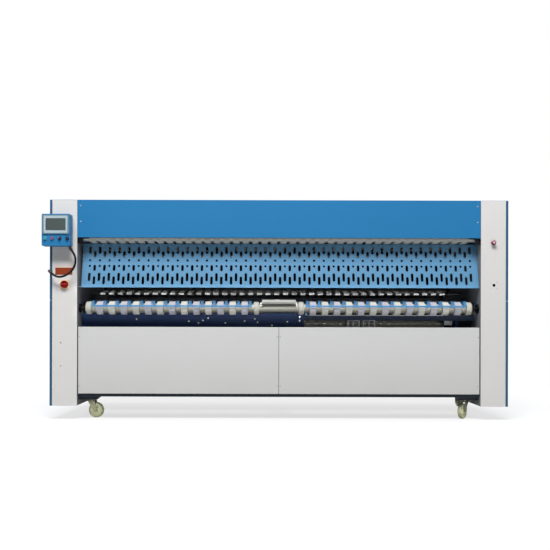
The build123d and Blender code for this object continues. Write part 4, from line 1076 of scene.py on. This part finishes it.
class FOLDER_OT_conduit(FolderPiece, Operator):
    """Black conduit from the console's gland to the elbow on the side cover"""

    bl_idname = "folder.conduit"
    bl_label = "Conduit"

    def execute(self, context):
        depth, radius = -50, 8.5
        route = [(-1655, 1362), (-1633, 1332), (-1617, 1287), (-1622, 1237), (-1646, 1192),
                 (-1688, 1158), (-1739, 1140), (-1784, 1149), (-1815, 1178)]
        points = [TO_FRAME @ Vector((x, depth, z)) for x, z in route]
        curve = bpy.data.curves.new("conduit_hose", "CURVE")
        curve.dimensions = "3D"
        spline = curve.splines.new("NURBS")
        spline.points.add(len(points) - 1)
        for point, place in zip(spline.points, points):
            point.co = (*place, 1)
        spline.order_u = 3
        spline.use_endpoint_u = True
        spline.resolution_u = 24
        curve.bevel_depth = radius / 1000
        curve.bevel_resolution = 6
        curve.use_fill_caps = True
        curve.materials.append(material("black_extruded_pvc"))
        hose = bpy.data.objects.new("conduit_hose", curve)
        bpy.context.scene.collection.objects.link(hose)
        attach(hose, "frame")
        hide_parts("conduit")
        fittings = self.fittings(depth, route)
        return {"FINISHED"}

    def fittings(self, depth, route):
        """Gland under the console, and the elbow that takes the conduit into the side cover."""
        points = [Vector((x, depth, z)) for x, z in route]
        gland, gland_knee = self.sleeve(points[0], points[1], 14)
        elbow, elbow_knee = self.sleeve(points[-1], points[-2], 18)
        riser = bar(gland_knee, (gland_knee.x, depth, CONSOLE_LOW), 9)
        nut = bar((gland_knee.x, depth, CONSOLE_LOW - 4), (gland_knee.x, depth, CONSOLE_LOW - 0.2), 12, 0.6, 6)
        stub = bar(elbow_knee, (elbow_knee.x, 0, elbow_knee.z), 11.3, 0.0, 32)
        lock = bar((elbow_knee.x, -7, elbow_knee.z), (elbow_knee.x, -0.2, elbow_knee.z), 13, 0.8, 6)
        return finish("conduit_ends", join(gland, riser, nut, elbow, stub, lock), "black_moulded_nylon",
                      "conduit_fittings")

    def sleeve(self, tip, before, reach):
        """Sleeve over the conduit's end and the ball it turns in, and where that ball is."""
        run = (tip - before).normalized()
        knee = tip + run * reach
        tube = turned(tip - run * 4, run, [
            (0, 8.6), (0, 10.6), (2, 11.5), (reach + 2, 11.5), (reach + 4, 10), (reach + 4, 8.6), (0, 8.6)])
        ball = bmesh.new()
        bmesh.ops.create_uvsphere(ball, u_segments=24, v_segments=16, radius=10.2, matrix=Matrix.Translation(knee))
        return join(tube, ball), knee


# Casters as the swivel axis's x and y, how far the wheel trails behind it and the turn in degrees
CASTERS = {
    "front_left": (-1536, 150, 38, -8),
    "front_right": (1536, 150, 38, 228),
    "rear_left": (-1722, 900, 28, 90),
    "rear_right": (1722, 900, 28, 90),
}
WHEEL_R, WHEEL_WIDE, CASTER_TOP = 62.5, 32, 156


def leg(trail, y0, y1):
    """Side of a caster fork: a plate that narrows from the crown to the axle."""
    shape = bmesh.new()
    outline = [(-26, 139), (30, 139), (30, 130), (-26, 130)]
    outline += [(trail + 14 * math.cos(turn), WHEEL_R + 14 * math.sin(turn))
                for turn in (math.tau * n / 24 for n in range(24))]
    for x, z in outline:
        for y in (y0, y1):
            shape.verts.new((x, y, z))
    hull = bmesh.ops.convex_hull(shape, input=shape.verts[:])
    bmesh.ops.delete(shape, geom=hull["geom_interior"], context="VERTS")
    bmesh.ops.dissolve_limit(shape, angle_limit=0.02, verts=shape.verts[:], edges=shape.edges[:])
    return soften(shape, 0.9, 2, 50)


class FOLDER_OT_casters(FolderPiece, Operator):
    """Four swivel casters: top plates, forks and wheels"""

    bl_idname = "folder.casters"
    bl_label = "Casters"

    def execute(self, context):
        plates = []
        for name, (x, y, trail, turn) in CASTERS.items():
            plates.append(self.top_plate(x, y))
            place = Matrix.Translation((x, y, 0)) @ Matrix.Rotation(math.radians(turn), 4, "Z")
            finish(f"{name}_caster_fork", moved(self.fork(trail), place), "olive_plated_steel",
                   f"{name}_fork", body=f"{name}_fork")
            finish(f"{name}_caster_wheel", moved(self.wheel(trail), place),
                   ["cream_cast_nylon", "zinc_plated_steel", "olive_cast_nylon"],
                   f"{name}_wheel", body=f"{name}_wheel")
        finish("caster_plates", join(*plates), ["navy_painted_steel", "zinc_plated_steel"],
               "caster_top_plates")
        return {"FINISHED"}

    def top_plate(self, x, y):
        place = plane((x, y, CASTER_TOP - 4), (1, 0, 0), (0, 1, 0))
        parts = [cut_sheet(rectangle(100, 84, 8), 4, place, [ring(6.1)])]
        for across in (-39, 39):
            for back in (-31, 31):
                parts.append(tint(hexagon_bolt(x + across, y + back, CASTER_TOP - 4, 7, 5, (0, 0, -1)), 1))
        return join(*parts)

    def fork(self, trail):
        """Crown, bearing race, two legs and the axle bolt with its nut."""
        inside = WHEEL_WIDE / 2 + 3
        crown = solid((-26, -inside - 4, 133), (30, inside + 4, 139), 2, 2)
        race = turned((0, 0, 139), (0, 0, 1), [
            (0, 0), (0, 27), (3, 30), (5, 30), (6, 28.6), (7, 30), (9, 30), (12.5, 26), (12.5, 6),
            (16.5, 6), (16.5, 0)])
        legs = [leg(trail, -inside - 4, -inside), leg(trail, inside, inside + 4)]
        axle = bar((trail, -inside - 4, WHEEL_R), (trail, inside + 4, WHEEL_R), 6, 0, 24)
        ends = [bar((trail, side * (inside + 4), WHEEL_R), (trail, side * (inside + 10), WHEEL_R), 10, 0.9, 6)
                for side in (-1, 1)]
        return join(crown, race, *legs, axle, *ends)

    def wheel(self, trail):
        """Cast wheel with a rounded tread, a dished web and a steel sleeve round the axle."""
        half = WHEEL_WIDE / 2
        web = [(half, 9), (half, 20), (half - 2, 22), (half - 6, 24), (half - 6, 47), (half - 1.5, 51), (half, 53.5)]
        profile = both_sides(web + rounded_rim(half, WHEEL_R, 9))
        tyre = turned((trail, 0, WHEEL_R), BACK, profile, 64, closed=True)
        for face in tyre.faces:
            across = face.calc_center_median() - Vector((trail, 0, WHEEL_R))
            face.material_index = 2 * int(math.hypot(across.x, across.z) > 54)
        sleeve = [(-half - 0.5, 6.1), (-half - 0.5, 9), (half + 0.5, 9), (half + 0.5, 6.1)]
        return join(tyre, tint(turned((trail, 0, WHEEL_R), BACK, sleeve, 32, closed=True), 1))


class FOLDER_OT_screws(FolderPiece, Operator):
    """Pan-head screws on the covers and round the socket"""

    bl_idname = "folder.screws"
    bl_label = "Screws"

    def execute(self, context):
        radius = size("screw")
        places = [(x, 0, z, radius) for x in (-1593, 1593) for z in (1718, 1590)]
        places += [(x, 12, z, radius) for x in (-1602, -12, 12, 1602) for z in (669, 273)]
        places += [(-1750, 0, z, 7) for z in (620, 434)]
        x, z = SOCKET
        places += [(x + across, 0, z + up, 3.5) for across in (-24, 24) for up in (-24, 24)]
        heads = [self.head(place[:3], place[3]) for place in places]
        finish("screws", join(*heads), "zinc_plated_steel", "cover_screws")
        return {"FINISHED"}

    def head(self, foot, radius):
        """Low dome with a socket in its middle."""
        return turned(foot, FORWARD, [
            (0, 0), (0, radius), (0.8, radius), (1.6, radius * 0.8), (2, radius * 0.5), (2, radius * 0.36),
            (0.8, radius * 0.34), (0.8, 0)], 20)


# Lamps as name, place, what they point at, width and height in metres, power in watts and spread in
# degrees. The thin ones send a level beam in under the guide plate and to the casters.
MIDDLE = (0, 0, 0.8)
LAMPS = [
    ("key_lamp", (-0.6, -5.2, 8.9), MIDDLE, (8.0, 2.8), 1300, 180),
    ("left_lamp", (-6.5, 1.0, 2.4), MIDDLE, (3.0, 3.0), 170, 180),
    ("right_lamp", (6.5, 1.0, 2.4), MIDDLE, (3.0, 3.0), 170, 180),
    ("back_lamp", (0.0, 6.2, 3.0), MIDDLE, (3.0, 3.0), 240, 180),
    ("nose_lamp", (0.0, -6.2, 1.04), (0, 0, 1.04), (3.2, 0.05), 0.5, 1.2),
    ("roller_lamp", (0.0, -6.2, 0.87), (0, 0, 0.87), (3.2, 0.12), 0.45, 1.2),
    ("caster_lamp", (0.0, -6.2, 0.07), (0, 0, 0.07), (3.2, 0.12), 0.4, 1.2),
]


class FOLDER_OT_stage(FolderPiece, Operator):
    """Pale floor, lamps and the camera"""

    bl_idname = "folder.stage"
    bl_label = "Stage"

    def execute(self, context):
        scene = context.scene
        scene.view_settings.view_transform = "Standard"
        scene.world = self.world()
        self.floor()
        for name, place, target, across, power, spread_angle in LAMPS:
            data = bpy.data.lights.new(name, "AREA")
            data.shape = "ELLIPSE" if spread_angle == 180 else "RECTANGLE"
            data.size, data.size_y = across
            data.energy, data.spread = power, math.radians(spread_angle)
            lamp = self.stand(name, data, place)
            lamp.rotation_euler = (Vector(target) - Vector(place)).to_track_quat("-Z", "Y").to_euler()
        data = bpy.data.cameras.new("camera")
        data.sensor_width, data.lens = 36.0, 42.4
        data.shift_x, data.shift_y = 0.0235, 0.09
        scene.camera = self.stand("camera", data, (-0.1165, -5.6945, 0.768))
        scene.camera.rotation_euler = (math.radians(90), math.radians(-0.14), 0)
        return {"FINISHED"}

    def stand(self, name, data, place=(0, 0, 0)):
        item = bpy.data.objects.new(name, data)
        item.location = place
        bpy.context.scene.collection.objects.link(item)
        return item

    def world(self):
        """White all round; what is seen directly, in metal or through glass is plain white."""
        world = bpy.data.worlds.new("studio")
        tree = bare_tree(world)
        ray = node(tree, "LightPath").outputs
        seen = node(tree, "Math", {0: ray["Is Camera Ray"], 1: ray["Is Glossy Ray"]}, "Value", operation="MAXIMUM")
        seen = node(tree, "Math", {0: seen, 1: ray["Is Transmission Ray"]}, "Value", operation="MAXIMUM")
        power = node(tree, "MapRange", {"Value": seen, "To Min": 0.07, "To Max": 1.0}, "Result")
        light = node(tree, "Background", {"Color": (1, 1, 1, 1), "Strength": power}, "Background")
        node(tree, "OutputWorld", {"Surface": light})
        return world

    def floor(self):
        """Large pale floor whose shadows are softened and that fades into the white round it."""
        shape = bmesh.new()
        bmesh.ops.create_grid(shape, x_segments=2, y_segments=2, size=30)
        mesh = bpy.data.meshes.new("floor")
        shape.to_mesh(mesh)
        shape.free()
        made = bpy.data.materials.new("matt_white_floor")
        tree = bare_tree(made)
        place = node(tree, "TexCoord", output="Object")
        away = node(tree, "VectorMath", {0: place}, "Value", operation="LENGTH")
        fade = node(tree, "MapRange", {"Value": away, "From Min": 2.2, "From Max": 5.0, "To Min": 0.68}, "Result")
        seen = node(tree, "LightPath", output="Is Camera Ray")
        share = node(tree, "Math", {0: fade, 1: seen}, "Value", operation="MULTIPLY")
        pale = blend(tree, seen, (0.45, 0.45, 0.45, 1), (0.8, 0.8, 0.8, 1))
        matt = node(tree, "BsdfDiffuse", {"Color": pale}, "BSDF")
        glow = node(tree, "Emission", {"Color": (1, 1, 1, 1), "Strength": 1.0}, "Emission")
        node(tree, "OutputMaterial", {"Surface": node(tree, "MixShader", {0: share, 1: matt, 2: glow}, "Shader")})
        mesh.materials.append(made)
        self.stand("floor", mesh)


PIECES = [
    FOLDER_OT_stage, FOLDER_OT_conduit, FOLDER_OT_carried_over, FOLDER_OT_columns, FOLDER_OT_side_covers,
    FOLDER_OT_top_covers, FOLDER_OT_panels, FOLDER_OT_belts, FOLDER_OT_front_wheels, FOLDER_OT_combs,
    FOLDER_OT_inner_panel, FOLDER_OT_delivery_hardware, FOLDER_OT_console, FOLDER_OT_controls,
    FOLDER_OT_switches, FOLDER_OT_casters, FOLDER_OT_screws,
]


class FOLDER_PT_pieces(bpy.types.Panel):
    """Colours, sizes and pieces of the folder"""

    bl_label = "Linen folding machine"
    bl_idname = "FOLDER_PT_pieces"
    bl_space_type = "VIEW_3D"
    bl_region_type = "UI"
    bl_category = "Folder"

    def draw(self, context):
        for settings in (context.scene.folder_colours, context.scene.folder_sizes):
            box = self.layout.box()
            for name in type(settings).__annotations__:
                box.prop(settings, name)
        for piece in PIECES:
            self.layout.operator(piece.bl_idname)


CLASSES = [FolderColours, FolderSizes, *PIECES, FOLDER_PT_pieces]


def register():
    for entry in CLASSES:
        bpy.utils.register_class(entry)
    bpy.types.Scene.folder_colours = PointerProperty(type=FolderColours)
    bpy.types.Scene.folder_sizes = PointerProperty(type=FolderSizes)


def unregister():
    del bpy.types.Scene.folder_sizes
    del bpy.types.Scene.folder_colours
    for entry in reversed(CLASSES):
        bpy.utils.unregister_class(entry)


def main():
    register()
    for piece in PIECES:
        group, name = piece.bl_idname.split(".")
        getattr(getattr(bpy.ops, group), name)()


if __name__ == "__main__":
    main()
